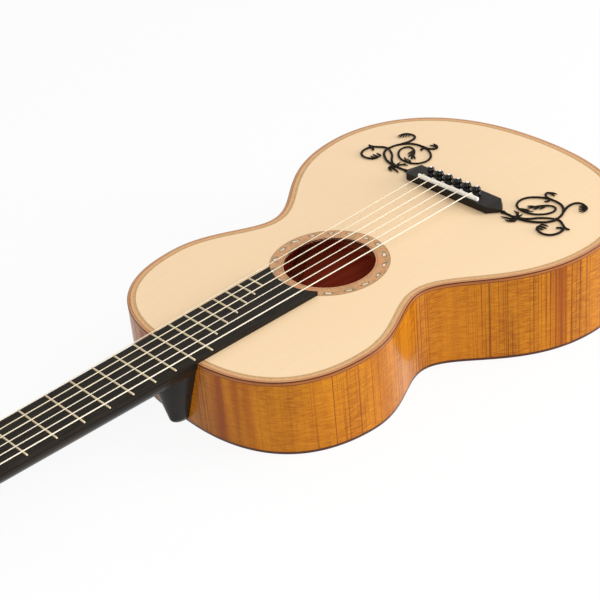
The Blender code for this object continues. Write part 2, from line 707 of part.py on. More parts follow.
def leaf_mesh(name, centre, halves, turn, side):
    """A leaf of a vine scroll: a flattened egg."""
    z = TOP_Z + GAP + STRAND_RADIUS * STRAND_FLATTEN
    place = (
        Matrix.Translation((*scroll_place(*centre, side), z))
        @ Matrix.Rotation(math.radians(side * turn), 4, "Z")
        @ Matrix.Diagonal(
            (halves[0] * SCROLL_UNIT, halves[1] * SCROLL_UNIT, STRAND_RADIUS * STRAND_FLATTEN * LEAF_SINK, 1.0)
        )
    )

    def build(bm):
        bmesh.ops.create_uvsphere(bm, u_segments=8, v_segments=5, radius=1.0, matrix=place)

    return mesh_from(name, build)


def make_scrolls(ebony):
    for name, side in (("scroll_treble", 1.0), ("scroll_bass", -1.0)):
        scroll = add_part(name, scroll_tube(name, STRANDS["spiral"], side), ebony, STRING_FRAME)
        for strand, points in STRANDS.items():
            if strand != "spiral":
                helper = f"{name}_{strand}"
                other = add_cutter(helper, scroll_tube(helper, points, side), STRING_FRAME)
                boolean(scroll, other, "UNION")
        for leaf, (centre, halves, turn) in LEAVES.items():
            helper = f"{name}_{leaf}"
            other = add_cutter(helper, leaf_mesh(helper, centre, halves, turn, side), STRING_FRAME)
            boolean(scroll, other, "UNION")


def make_fretboard(ebony, bone):
    """The board runs from the nut to the rosette, whose curve its end follows."""
    floor = TOP_Z + GAP
    end_radius = ROSETTE_RADIUS - BOARD_OVER_ROSETTE
    reach = board_half_width(SOUNDHOLE_Y + end_radius)
    limit = math.acos(min(0.99, reach / end_radius))
    sweep = np.linspace(limit, math.pi - limit, 17)
    end = [(end_radius * math.cos(a), SOUNDHOLE_Y + end_radius * math.sin(a)) for a in sweep]
    top = [(-NUT_WIDTH / 2, SCALE_LENGTH - GAP), (NUT_WIDTH / 2, SCALE_LENGTH - GAP)]
    board = add_part("fretboard", plate_mesh("fretboard", [end + top], floor, BOARD_Z), ebony, STRING_FRAME)
    edge = board.modifiers.new("edge", "BEVEL")
    edge.width = BOARD_EDGE_RADIUS
    edge.segments = 1
    edge.limit_method = "ANGLE"
    edge.angle_limit = math.radians(60.0)
    slots = []
    for number in range(1, FRET_COUNT + 1):
        y = fret_y(number)
        right = board_half_width(y) - FRET_INSET
        left = -right
        if number >= FIRST_SHORT_FRET:
            left = SHORT_FRET_START + SHORT_FRET_SLANT * (fret_y(FIRST_SHORT_FRET) - y)
        height = FRET_PROUD + FRET_DEPTH
        centre = ((left + right) / 2, y, BOARD_Z + FRET_PROUD - height / 2)
        add_part(
            f"fret_{number}",
            boxes_mesh(f"fret_{number}", [(centre, (right - left, FRET_WIDTH, height), 0.0)]),
            bone,
            STRING_FRAME,
        )
        slot_top = BOARD_Z + FRET_PROUD
        slot_bottom = BOARD_Z - FRET_DEPTH - GAP
        slot_centre = (centre[0], y, (slot_top + slot_bottom) / 2)
        slots.append(
            (slot_centre, (right - left + 2 * GAP, FRET_WIDTH + 2 * GAP, slot_top - slot_bottom), 0.0)
        )
    boolean(board, add_cutter("fret_slots", boxes_mesh("fret_slots", slots), STRING_FRAME))


def nut_string_x(index):
    return string_share(index) * STRING_SPREAD_NUT


def make_nut(bone):
    bottom = TOP_Z + GAP
    top = BOARD_Z + NUT_PROUD
    size = (NUT_WIDTH, NUT_LENGTH, top - bottom)
    centre = (0.0, SCALE_LENGTH + NUT_LENGTH / 2, (top + bottom) / 2)
    nut = add_part("nut", boxes_mesh("nut", [(centre, size, 0.0)]), bone, STRING_FRAME)
    edge = nut.modifiers.new("edge", "BEVEL")
    edge.width = BRIDGE_EDGE
    edge.segments = 1
    slots = []
    for index in range(STRING_COUNT):
        slot_bottom = BOARD_Z + STRING_ABOVE_BOARD_NUT - STRING_RADII[index] - GAP
        # Each slot is open below the line on which the string dips to its peg.
        low, high = slot_bottom - NUT_SLOT_DIP, top + CUT_BEYOND
        slot_centre = (nut_string_x(index), centre[1], (low + high) / 2)
        slots.append((slot_centre, (NUT_SLOT_WIDTH, 2 * NUT_LENGTH, high - low), 0.0))
    boolean(nut, add_cutter("nut_slots", boxes_mesh("nut_slots", slots), STRING_FRAME))


def head_half_outline():
    """The figure-of-eight head on the treble side, from the nut to its tip."""
    nut = np.array((NUT_WIDTH / 2, 0.0))
    lower = np.array((HEAD_LOWER_LOBE_WIDTH / 2, HEAD_LOWER_LOBE_AT))
    waist = np.array((HEAD_WAIST_WIDTH / 2, HEAD_WAIST_AT))
    upper = np.array((HEAD_UPPER_LOBE_WIDTH / 2, HEAD_UPPER_LOBE_AT))
    tip = np.array((0.0, HEAD_LENGTH))
    up = np.array((0.0, 1.0))
    out = np.array((1.0, 0.0))
    first, second, third = lower[1] / 2, (waist[1] - lower[1]) / 2, (upper[1] - waist[1]) / 2
    last = (tip[1] - upper[1]) * HEAD_TIP_FULLNESS
    return np.concatenate(
        (
            bezier(nut, nut + first * up * HEAD_TIP_FULLNESS, lower - first * up, lower, 5),
            bezier(lower, lower + second * up, waist - second * up, waist, 5),
            bezier(waist, waist + third * up, upper - third * up, upper, 5),
            bezier(upper, upper + last * up, tip + upper[0] * HEAD_TIP_FULLNESS * out, tip, 7),
            tip[None, :],
        )
    )


def peg_places():
    """Where each string's peg stands on the head: the outer strings go to the pegs next to the nut."""
    rows = (0, 1, 2, 2, 1, 0)
    sides = (1, 1, 1, -1, -1, -1)
    return [(side * PEG_SPREADS[row] / 2, PEG_ROWS[row]) for side, row in zip(sides, rows)]


def neck_shaft(bm):
    """A squashed, tapered round bar with its upper half taken off, from the body to the nut's far side."""
    start = BODY_TOP_Y + GAP
    length = NUT_END_Y - start
    first = board_half_width(start)
    last = board_half_width(NUT_END_Y)
    squash = NECK_DEPTH / (NUT_WIDTH / 2)
    place = (
        Matrix.Translation((0.0, start + length / 2, TOP_Z))
        @ Matrix.Diagonal((1.0, 1.0, squash, 1.0))
        @ Matrix.Rotation(-math.pi / 2, 4, "X")
    )
    bmesh.ops.create_cone(
        bm, cap_ends=True, segments=NECK_SIDES, radius1=first, radius2=last, depth=length, matrix=place
    )
    keep_side(bm, (0.0, 0.0, TOP_Z), (0.0, 0.0, 1.0))


def keep_side(bm, point, outward):
    """Cuts the solid by a plane, drops what lies beyond it and closes the cut."""
    cut = bmesh.ops.bisect_plane(
        bm, geom=bm.verts[:] + bm.edges[:] + bm.faces[:], plane_co=point, plane_no=outward, clear_outer=True
    )
    edges = [item for item in cut["geom_cut"] if isinstance(item, bmesh.types.BMEdge)]
    bmesh.ops.holes_fill(bm, edges=edges, sides=0)
    bmesh.ops.recalc_face_normals(bm, faces=bm.faces)


def heel_rings():
    """Ellipses from the neck down to the back. Width and reach shrink evenly and round off at the bottom."""
    bottom = (BODY_TOP_Y + HEEL_REACH_AT_BACK) * TAPER_SLOPE + HEEL_FLOOR_GAP
    top = TOP_Z - GAP
    wide = board_half_width(BODY_TOP_Y)
    rings = []
    for i in range(HEEL_RINGS + 1):
        way = math.sin(math.pi / 2 * i / HEEL_RINGS)
        across = wide + (HEEL_WIDTH_AT_BACK / 2 - wide) * way
        along = HEEL_REACH + (HEEL_REACH_AT_BACK - HEEL_REACH) * way
        rounding = math.sqrt(1 - (max(0.0, way - HEEL_ROUND_FROM) / HEEL_ROUND_SPAN) ** 2)
        turn = np.arange(HEEL_SIDES) * 2 * math.pi / HEEL_SIDES
        z = np.full(HEEL_SIDES, top + (bottom - top) * way)
        x = across * rounding * np.cos(turn)
        rings.append(np.column_stack((x, BODY_TOP_Y + along * rounding * np.sin(turn), z)))
    return rings


def loft(bm, rings):
    """A closed solid through rings of equal counts, with flat ends."""
    made = [[bm.verts.new(point) for point in ring] for ring in rings]
    count = len(made[0])
    for lower, upper in zip(made, made[1:]):
        for i in range(count):
            j = (i + 1) % count
            bm.faces.new((lower[i], upper[i], upper[j], lower[j]))
    bm.faces.new(made[0])
    bm.faces.new(made[-1][::-1])
    bmesh.ops.recalc_face_normals(bm, faces=bm.faces)


def make_neck(ink):
    """Neck shaft, cone heel and head as one carved piece, with six peg holes."""
    neck = add_part("neck", mesh_from("neck", neck_shaft), ink, STRING_FRAME)

    def build_heel(bm):
        loft(bm, heel_rings())
        keep_side(bm, (0.0, BODY_TOP_Y + GAP, 0.0), (0.0, -1.0, 0.0))

    boolean(neck, add_cutter("heel", mesh_from("heel", build_heel), STRING_FRAME), "UNION")

    def build_volute(bm):
        place = Matrix.Translation((0.0, SCALE_LENGTH, TOP_Z)) @ Matrix.Diagonal(
            (NUT_WIDTH / 2 - GAP, VOLUTE_LENGTH, NECK_DEPTH - GAP, 1.0)
        )
        bmesh.ops.create_uvsphere(bm, u_segments=20, v_segments=12, radius=1.0, matrix=place)
        keep_side(bm, (0.0, 0.0, TOP_Z - GAP), (0.0, 0.0, 1.0))
        lean = (0.0, math.sin(HEAD_ANGLE), math.cos(HEAD_ANGLE))
        keep_side(bm, (0.0, SCALE_LENGTH, TOP_Z - GAP), lean)

    boolean(neck, add_cutter("volute", mesh_from("volute", build_volute), STRING_FRAME), "UNION")
    half = head_half_outline()
    loop = np.concatenate((half, half[-2::-1] * (-1.0, 1.0)))
    head = add_cutter("head", plate_mesh("head", [loop], -HEAD_THICKNESS, 0.0), HEAD_FRAME)
    edge = head.modifiers.new("edge", "BEVEL")
    edge.width = HEAD_CORNER
    edge.segments = 2
    edge.limit_method = "ANGLE"
    edge.angle_limit = math.radians(60.0)
    boolean(neck, head, "UNION")
    hole_radius = PEG_RADIUS + PEG_CLEARANCE
    bottom = -HEAD_THICKNESS - CUT_BEYOND
    holes = cylinders_mesh("peg_holes", peg_places(), hole_radius, bottom, CUT_BEYOND, PEG_SIDES)
    boolean(neck, add_cutter("peg_holes", holes, HEAD_FRAME))


def make_pegs(ebony):
    """Friction pegs from behind the head, each with its origin on its own axis in the head's face."""
    back = -HEAD_THICKNESS
    end = back - PEG_BACK
    shoulder, widest, face = (end + edge for edge in PEG_KNOB_EDGES)
    profile = [
        (0.0, PEG_FRONT),
        (PEG_RADIUS - BRIDGE_EDGE, PEG_FRONT),
        (PEG_RADIUS, PEG_FRONT - BRIDGE_EDGE),
        (PEG_RADIUS, back - GAP),
        (PEG_COLLAR_RADIUS, back - GAP),
        (PEG_COLLAR_RADIUS, back - PEG_COLLAR),
        (PEG_STEM_RADIUS, back - PEG_COLLAR - BRIDGE_EDGE),
        (PEG_STEM_RADIUS, end + PEG_KNOB_LENGTH),
        (PEG_KNOB_FACE_RADIUS, shoulder),
        (PEG_KNOB_RADIUS, widest),
        (PEG_KNOB_FACE_RADIUS, face),
        (0.0, end),
    ]
    for number, (x, s) in enumerate(peg_places(), start=1):
        peg = turned_mesh_object(f"peg_{number}", profile, PEG_SIDES, ebony, HEAD_FRAME)
        peg.location = (x, s, 0.0)


def string_points(index):
    """One string's middle line: up through its pin hole, over saddle and nut, and round its peg."""
    radius = STRING_RADII[index]
    share = string_share(index)
    x = share * STRING_SPREAD_SADDLE
    saddle_y = x * math.tan(SADDLE_TURN)
    crown = SADDLE_CREST_Z - SADDLE_WIDTH / 2
    over = SADDLE_WIDTH / 2 + radius + GAP
    hole_y = PIN_Y + PIN_SHANK_RADIUS + PIN_HOLE_CLEARANCE / 2
    plate_bottom = TOP_Z - SOUNDBOARD_THICKNESS - BRIDGE_PLATE_THICKNESS - 2 * GAP
    ramp_y = PIN_Y + PIN_COLLAR_RADIUS
    points = [
        (x, hole_y, plate_bottom - STRING_TAIL),
        (x, hole_y, BRIDGE_TOP_Z - PIN_SLOT_DEPTH + radius + GAP),
        (x, ramp_y, BRIDGE_TOP_Z - radius - GAP),
        (x, saddle_y - over * math.sin(STRING_BREAK), crown + over * math.cos(STRING_BREAK)),
        (x, saddle_y - over * math.sin(STRING_BREAK / 2), crown + over * math.cos(STRING_BREAK / 2)),
        (x, saddle_y, crown + over),
    ]
    nut_x = nut_string_x(index)
    nut_z = BOARD_Z + STRING_ABOVE_BOARD_NUT
    points.append((nut_x, SCALE_LENGTH + NUT_STRING_REST, nut_z))
    to_strings = Matrix.Translation((0.0, SCALE_LENGTH, TOP_Z)) @ Matrix.Rotation(-HEAD_ANGLE, 4, "X")
    nut_on_head = to_strings.inverted() @ Vector(points[-1])
    peg_x, peg_y = peg_places()[index]
    side = 1.0 if peg_x > 0 else -1.0
    # The string meets the inner side of its winding where the line from the nut touches the circle.
    turn_radius = PEG_RADIUS + PEG_CLEARANCE / 2 + radius
    dx, dy = nut_on_head.x - peg_x, nut_on_head.y - peg_y
    distance = math.hypot(dx, dy)
    start = math.atan2(dy, dx) - side * math.acos(turn_radius / distance)
    pitch = 2 * radius + COIL_GAP
    top = COIL_ABOVE_HEAD
    count = round(COIL_TURNS * COIL_POINTS)
    run = math.sqrt(distance**2 - turn_radius**2)
    # The turns begin level with the end of the straight run and drop by one pitch a turn.
    for i in range(count + 1):
        angle = start - side * i * 2 * math.pi / COIL_POINTS
        z = top - pitch * i / COIL_POINTS
        place = (peg_x + turn_radius * math.cos(angle), peg_y + turn_radius * math.sin(angle), z)
        points.append(tuple(to_strings @ Vector(place)))
    return points, run


def least_coil_gap(points, radius):
    """The least distance between one turn's surface and the next one's, on the points of the winding."""
    coil = np.array(points[-(round(COIL_TURNS * COIL_POINTS) + 1):])
    apart = np.linalg.norm(coil[:, None] - coil[None, :], axis=2)
    order = np.arange(len(coil))
    far = np.abs(order[:, None] - order[None, :]) > COIL_POINTS / 2
    return float(apart[far].min()) - 2 * radius


def make_strings(gut):
    for index in range(STRING_COUNT):
        points, run = string_points(index)
        radius = STRING_RADII[index]
        name = f"string_{index + 1}"
        add_part(name, tube_mesh(name, points, radius), gut, STRING_FRAME)
        gap = least_coil_gap(points, radius) * 1000
        print(f"{name}: least gap between its turns {gap:.2f} mm, {run * 1000:.1f} mm from nut to peg")


def main():
    spruce = make_material("spruce_top", SPRUCE, 0.35)
    maple = make_material("flamed_maple", MAPLE, 0.18)
    rosewood = make_material("rosewood_binding", ROSEWOOD, 0.25)
    wood = make_material("plain_inner_wood", PLAIN_WOOD, 0.7)
    ebony = make_material("ebony", EBONY, 0.3)
    ink = make_material("black_polished_neck", INK, 0.2)
    bone = make_material("bone", BONE, 0.35)
    burl = make_material("burl_rosette", BURL, 0.3)
    gut = make_material("string", GUT, 0.35)
    make_plates(spruce, maple)
    make_ribs_and_bindings(maple, rosewood, wood)
    make_inner_work(wood, spruce)
    make_rosette(burl)
    make_bridge(ebony, bone)
    make_pins(ebony)
    make_scrolls(ebony)
    make_fretboard(ebony, bone)
    make_nut(bone)
    make_neck(ink)
    make_pegs(ebony)
    make_strings(gut)
    bpy.context.view_layer.update()


main()
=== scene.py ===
import math

import bmesh
import bpy
import numpy as np
from mathutils import Matrix


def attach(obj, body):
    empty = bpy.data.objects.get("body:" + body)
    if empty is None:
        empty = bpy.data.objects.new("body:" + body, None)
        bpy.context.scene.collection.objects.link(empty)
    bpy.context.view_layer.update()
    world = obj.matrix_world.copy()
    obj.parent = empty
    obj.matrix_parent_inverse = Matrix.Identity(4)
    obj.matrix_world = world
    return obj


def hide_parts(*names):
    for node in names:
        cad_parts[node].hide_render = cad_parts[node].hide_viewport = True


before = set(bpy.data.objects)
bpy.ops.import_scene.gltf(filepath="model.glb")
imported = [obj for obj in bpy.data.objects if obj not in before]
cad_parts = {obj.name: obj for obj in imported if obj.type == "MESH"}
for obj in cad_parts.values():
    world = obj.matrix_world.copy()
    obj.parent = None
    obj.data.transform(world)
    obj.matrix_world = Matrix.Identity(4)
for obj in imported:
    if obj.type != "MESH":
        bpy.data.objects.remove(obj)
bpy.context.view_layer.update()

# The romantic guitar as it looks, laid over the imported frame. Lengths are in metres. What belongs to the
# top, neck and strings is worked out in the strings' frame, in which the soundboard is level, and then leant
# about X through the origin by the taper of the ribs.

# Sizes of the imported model
GAP = 0.0003
SCALE_LENGTH = 0.640
FRET_COUNT = 19
STRING_COUNT = 6
STRING_SPREAD_SADDLE = 0.0563
STRING_SPREAD_NUT = 0.0400
STRING_RADII = (0.00036, 0.00042, 0.00050, 0.00038, 0.00045, 0.00054)
STRING_ABOVE_BOARD_SADDLE = 0.0065
STRING_ABOVE_BOARD_NUT = 0.0016
STRING_TAIL = 0.004
COIL_GAP = 0.00048
COIL_TURNS = 2.5
COIL_ABOVE_HEAD = 0.0058
BODY_LENGTH = 0.4530
BODY_TOP_Y = 0.3188
TAIL_Y = BODY_TOP_Y - BODY_LENGTH
UPPER_BOUT = (0.12225, BODY_TOP_Y - 0.0984)
WAIST = (0.0919, BODY_TOP_Y - 0.1877)
LOWER_BOUT = (0.1584, BODY_TOP_Y - 0.3338)
REACHES = (0.0162, 0.1090, 0.0394, 0.0241, 0.0363, 0.0856, 0.0364, 0.1353)
DEPTH_AT_HEEL = 0.0696
DEPTH_AT_TAIL = 0.0933
TAPER_SLOPE = (DEPTH_AT_TAIL - DEPTH_AT_HEEL) / BODY_LENGTH
TAPER = math.atan(TAPER_SLOPE)
TOP_Z = DEPTH_AT_TAIL + TAPER_SLOPE * TAIL_Y
SOUNDBOARD_THICKNESS = 0.0028
BACK_THICKNESS = 0.0026
RIB_THICKNESS = 0.0022
BINDING_WIDTH = 0.0025
BINDING_HEIGHT = 0.0036
SOUNDHOLE_RADIUS = 0.0398
SOUNDHOLE_Y = BODY_TOP_Y - 0.1717
ROSETTE_RADIUS = 0.0523
ROSETTE_THICKNESS = 0.0010
NUT_WIDTH = 0.0470
BOARD_WIDTH_AT_BODY = 0.0567
BOARD_HEIGHT = 0.0044
BOARD_Z = TOP_Z + BOARD_HEIGHT
FRET_WIDTH = 0.0013
FRET_PROUD = 0.0011
FRET_DEPTH = 0.0018
FRET_INSET = 0.0006
FIRST_SHORT_FRET = 14
SHORT_FRET_START = -0.0139
SHORT_FRET_SLANT = 0.348
NUT_LENGTH = 0.0050
NUT_END_Y = SCALE_LENGTH + NUT_LENGTH
NECK_DEPTH = 0.0160
HEEL_REACH = 0.0284
HEEL_REACH_AT_BACK = 0.0132
HEEL_WIDTH_AT_BACK = 0.0094
HEEL_ROUND_FROM = 0.90
HEEL_ROUND_SPAN = 0.11
HEEL_FLOOR_GAP = 0.0008
VOLUTE_LENGTH = 0.0300
HEAD_ANGLE = math.radians(5.0)
HEAD_THICKNESS = 0.0120
HEAD_LENGTH = 0.1500
HEAD_LOWER_LOBE = (0.0345, 0.0380)
HEAD_WAIST = (0.0290, 0.0770)
HEAD_UPPER_LOBE = (0.0370, 0.1150)
PEG_ROWS = (0.0340, 0.0730, 0.1120)
PEG_SPREADS = (0.0440, 0.0400, 0.0380)
PEG_RADIUS = 0.0038
PEG_CLEARANCE = 0.0004
PEG_FRONT = 0.0130
PEG_COLLAR_RADIUS = 0.0058
PEG_COLLAR = 0.0025
PEG_KNOB_RADIUS = 0.0090
PEG_KNOB_THICKNESS = 0.0055
PEG_BACK = 0.0180
BRIDGE_TOP_Z = TOP_Z + GAP + 0.0070
BRIDGE_PLATE_THICKNESS = 0.0025
SADDLE_CREST_Z = BOARD_Z + STRING_ABOVE_BOARD_SADDLE
SADDLE_WIDTH = 0.0026
SADDLE_TURN = math.radians(1.5)
PIN_Y = -0.0095
PIN_SHANK_RADIUS = 0.0019
PIN_HOLE_RADIUS = 0.0033
PIN_COLLAR_RADIUS = 0.0043
PIN_BALL_RADIUS = 0.0036
PIN_HEAD_HEIGHT = 0.0083
PIN_LENGTH = 0.0190
PIN_SLOT_DEPTH = 0.0034
EDGE = 0.0005
STRAND_RADIUS = 0.0011
STRAND_FLATTEN = 0.70
BASS_SCROLL_SHIFT = 0.0020

# Sizes that only the finished surfaces have
CREASE = 35.0
CORNER_LINE_FADE = (0.0011, 0.0014)
LOWER_LINE_FADE = (0.0031, 0.0034)
LOWER_LINE_END = (0.0060, 0.0062)
BINDING_SIDE_SHADE_FADE = (0.0060, 0.0063)
PURFLING_JOIN = 0.0052
PURFLING_END = 0.0074
PURFLING_DEPTH = 0.0012
ROSETTE_LINE = 0.0009
RIM_LINE_OUT = 0.0014
RIM_LINE_FADE = (0.0003, 0.0006)
CHIP_COUNT = 18
CHIP_CIRCLE = 0.0480
CHIP_PITCH = 2 * math.pi * CHIP_CIRCLE / CHIP_COUNT
CHIP_HALF_LENGTH = 0.0024
CHIP_HALF_WIDTH = 0.0009
CHIP_FROM_EDGE = 0.0042
CHIP_WOBBLE = 0.006
HOLE_WALL_WITHIN = 1.01 * SOUNDHOLE_RADIUS
DRILL_PAST = 0.010
PEARL_RADIUS = 0.0015
PEARL_SIDES = 28
PIN_DOME_END = math.radians(125.0)
PIN_BEAD = 0.0009
PIN_BEAD_BELOW = 0.85
FRET_END_EASE = (0.0, 0.0002, 0.0005, 0.0009)
FRET_END_FALL = (0.15, 0.60, 0.90, 1.0)
HEEL_OUTLINE_POINTS = 80
HEAD_EDGE = 0.0016
HEAD_ROUND_REACH = 0.6
PEG_STEM_RADIUS = 0.8 * PEG_RADIUS
PEG_STEM_SPAN = 0.0020
PEG_STEM_END = 0.0006
PEG_KNOB_LENGTH = 1.9 * PEG_KNOB_THICKNESS
PEG_KNOB_END = math.radians(170.0)
PEG_PEARL_RADIUS = 0.0018
PEG_PEARL_CROWN = 0.0004
PEG_PEARL_SUNK = 0.0003
PEG_PEARL_DEPTH = 0.0012
NUT_CROWN = 0.3
ARCH_START = math.radians(50.0)
ARCH_POINTS = 9
COIL_STEPS = 40
FLOOR_REACH = 9.0
FLOOR_LEVEL = -0.0003
FLOOR_GLOW = 0.90
DAYLIGHT = 0.478
WHITE = (1.0, 1.0, 1.0, 1.0)

# The vine scrolls' drawing is in millimetres. A strand starts wider than its mean and thins. A blade is
# widest early and has full flanks, a ridge and a height that falls towards its tip. The stem's root runs from
# the bridge's tip, and its broad end adds to its thin half width and half height.
MILLIMETRE = 0.001
STRAND_START = 1.20
STRAND_THINNING = 0.26
BLADE_EARLY = 0.85
BLADE_FULLNESS = 0.6
BLADE_RIDGE = 0.35
BLADE_HEIGHT = 1.1
BLADE_FALL = 0.4
BLADE_RISE = 2.0
STEM_START, STEM_RUN = (57.6, -8.0), (9.0, 0.3)
STEM_THIN, STEM_ADDED = (0.0011, 0.0008), (0.0016, 0.0004)
STEM_HOLLOW = 2.5

# Strands of the vine scrolls: outward and lengthwise places
STRANDS = {
    "spiral": (
        (57.9, -8.0), (62.0, -7.8), (70.0, -7.6), (78.0, -8.2), (86.0, -10.4), (92.5, -14.0), (98.5, -19.0),
        (101.8, -25.0), (101.8, -32.5), (100.0, -39.0), (95.5, -45.5), (89.5, -49.8), (82.5, -51.4),
        (75.0, -51.0), (68.0, -48.7), (61.0, -43.8), (57.2, -38.0), (56.6, -31.5), (59.2, -25.2),
        (64.5, -21.4), (71.5, -20.2), (78.5, -21.2), (85.0, -24.8), (90.0, -30.5), (91.8, -37.0),
        (89.5, -42.2), (85.0, -43.2), (81.0, -41.0), (77.0, -37.0),
    ),
    "eye": ((70.0, -8.0), (79.0, -10.6), (84.5, -15.0), (89.0, -20.2), (94.5, -24.5), (101.0, -28.0)),
    "tendril": (
        (98.5, -42.5), (96.6, -48.0), (95.9, -53.5), (96.6, -58.5), (99.6, -61.9), (104.4, -62.4),
        (109.2, -60.2), (111.4, -57.0),
    ),
    "top_curl": ((78.5, -51.4), (71.6, -52.0), (67.6, -54.6), (66.4, -57.6), (68.0, -60.2)),
    "inner_curl": ((75.0, -51.0), (76.4, -48.6), (76.2, -46.4)),
    "branch": (
        (100.8, -28.4), (107.0, -27.6), (111.6, -24.8), (116.0, -22.2), (119.4, -21.4), (121.6, -22.0),
    ),
    "bud_curl": (
        (115.6, -22.5), (117.9, -17.5), (118.2, -12.0), (116.2, -6.4), (112.4, -3.2), (107.4, -2.2),
        (102.6, -3.2), (99.0, -5.8), (97.2, -9.4),
    ),
    "twig": ((117.4, -19.4), (113.8, -19.2), (110.8, -16.4)),
    "front_sprig": ((71.0, -7.6), (75.0, -5.4), (75.4, -2.4), (71.4, -1.4)),
}
# Blades of the leaves: the places of root, bend and tip, and half the width
BLADES = (
    (96.6, -8.0, 100.0, -5.8, 105.4, -7.6, 1.3), (96.4, -10.2, 101.0, -10.2, 106.0, -10.8, 1.4),
    (96.8, -12.0, 99.6, -15.4, 104.8, -14.2, 1.3), (98.4, -4.2, 101.4, -3.2, 104.2, -4.6, 0.8),
    (71.6, -8.2, 72.4, -15.8, 63.0, -15.8, 1.3), (71.2, -9.0, 75.0, -11.6, 73.6, -16.8, 1.0),
    (71.0, -11.0, 70.6, -14.6, 67.6, -17.2, 1.0), (75.2, -5.6, 75.6, 1.0, 67.4, 1.0, 1.2),
    (74.0, -3.2, 67.6, -3.4, 61.2, -0.6, 1.2), (73.8, -5.2, 71.2, -5.2, 69.0, -3.4, 0.8),
    (83.5, -43.4, 76.4, -38.0, 69.6, -25.4, 1.8), (79.8, -40.4, 80.8, -36.0, 79.4, -31.4, 1.2),
    (76.8, -36.6, 77.4, -32.0, 75.2, -28.0, 1.2), (74.2, -33.0, 70.6, -31.8, 67.4, -29.0, 1.1),
    (65.4, -21.6, 69.6, -24.0, 74.2, -25.0, 1.0), (69.0, -20.8, 74.0, -22.6, 78.4, -26.0, 1.1),
    (66.6, -58.0, 69.6, -62.4, 75.6, -61.4, 1.3), (67.6, -58.8, 72.0, -59.8, 75.8, -57.2, 1.3),
    (76.4, -48.6, 77.0, -45.6, 73.4, -45.2, 1.2), (105.4, -62.6, 113.8, -60.2, 111.6, -50.0, 1.1),
    (110.6, -58.6, 110.2, -53.6, 108.8, -50.0, 0.65), (109.6, -59.6, 108.4, -56.0, 106.6, -52.2, 0.65),
    (107.8, -60.8, 106.8, -57.6, 104.6, -54.4, 0.6), (105.6, -62.0, 105.2, -59.4, 102.8, -57.0, 0.6),
    (117.4, -21.6, 120.4, -20.2, 122.2, -22.4, 1.1),
)


# Places and lines


LEAN = np.array(Matrix.Rotation(-TAPER, 3, "X"))
HEAD_LEAN = np.array(Matrix.Rotation(-HEAD_ANGLE, 3, "X"))
HEAD_PLACE = (0.0, SCALE_LENGTH, TOP_Z)


def lean(points):
    """Points of the strings' frame, leant back by the taper to where they lie."""
    return np.asarray(points, float) @ LEAN.T


def from_head(points):
    """Points of the head's own frame, whose origin is on the head's face under the nut's front edge, turned
    back by the head's angle and moved into the strings' frame."""
    return np.asarray(points, float) @ HEAD_LEAN.T + HEAD_PLACE


def lean_head(points):
    """Points of the head's own frame, put where they lie."""
    return lean(from_head(points))


def raised(flat, z):
    """Flat points at one height, or each at its own."""
    return np.column_stack((flat, np.broadcast_to(z, len(flat))))


def bezier(p0, p1, p2, p3, steps):
    """Points on a cubic curve from p0 towards p1, and from p2 to p3, without its last one."""
    t = np.linspace(0.0, 1.0, steps, endpoint=False)[:, None]
    return (1 - t) ** 3 * p0 + 3 * (1 - t) ** 2 * t * p1 + 3 * (1 - t) * t**2 * p2 + t**3 * p3


def half_outline():
    """The body's edge on the treble side from the neck to the tail: four cubic curves, joined where they run
    lengthwise."""
    out, up = np.eye(2)
    top, tail = np.array((0.0, BODY_TOP_Y)), np.array((0.0, TAIL_Y))
    upper, waist, lower = np.array(UPPER_BOUT), np.array(WAIST), np.array(LOWER_BOUT)
    r = REACHES
    runs = (
        bezier(top, top + r[0] * out, upper + r[1] * up, upper, 70),
        bezier(upper, upper - r[2] * up, waist + r[3] * up, waist, 50),
        bezier(waist, waist - r[4] * up, lower + r[5] * up, lower, 60),
        bezier(lower, lower - r[6] * up, tail + r[7] * out, tail, 60),
    )
    return np.concatenate((*runs, tail[None]))


def inset_loop(loop, inset):
    """A closed loop moved to its inner side, at right angles to the line between each point's neighbours."""
    ahead = np.roll(loop, -1, axis=0) - np.roll(loop, 1, axis=0)
    ahead /= np.linalg.norm(ahead, axis=1)[:, None]
    return loop + inset * np.column_stack((ahead[:, 1], -ahead[:, 0]))


HALF = half_outline()
OUTLINE = np.concatenate((HALF, HALF[-2:0:-1] * (-1.0, 1.0)))


def body_loop(inset, z):
    """The body's edge moved inwards, at one height of the strings' frame."""
    return lean(raised(inset_loop(OUTLINE, inset), z))


def back_loop(inset, z):
    """The body's edge in the level plane of the back, a little longer because the ribs meet it at a slant."""
    return raised(inset_loop(OUTLINE, inset) / (1.0, math.cos(TAPER)), z)


def hole_circle(radius, z):
    """A circle round the soundhole with one point straight inwards from each point of the body's edge."""
    turn = np.arctan2(OUTLINE[:, 1] - SOUNDHOLE_Y, OUTLINE[:, 0])
    return lean(raised(np.column_stack((radius * np.cos(turn), SOUNDHOLE_Y + radius * np.sin(turn))), z))


def board_half_width(y):
    """Half the fretboard's width, which grows evenly from the nut to the body."""
    slope = (BOARD_WIDTH_AT_BODY - NUT_WIDTH) / 2 / (SCALE_LENGTH / 2)
    return NUT_WIDTH / 2 + slope * (SCALE_LENGTH - y)


def smooth_line(points, steps):
    """A curve through all points: each run is a cubic whose end directions come from the points next to
    it."""
    p = np.asarray(points, float)
    p = np.concatenate((2 * p[:1] - p[1:2], p, 2 * p[-1:] - p[-2:-1]))
    t = np.linspace(0.0, 1.0, steps, endpoint=False)[None, :, None]
    a, b, c, d = (p[i : len(p) - 3 + i, None, :] for i in range(4))
    runs = 0.5 * (2 * b + (c - a) * t + (2 * a - 5 * b + 4 * c - d) * t**2 + (3 * b - a - 3 * c + d) * t**3)
    return np.concatenate((runs.reshape(-1, p.shape[1]), p[-2:-1]))


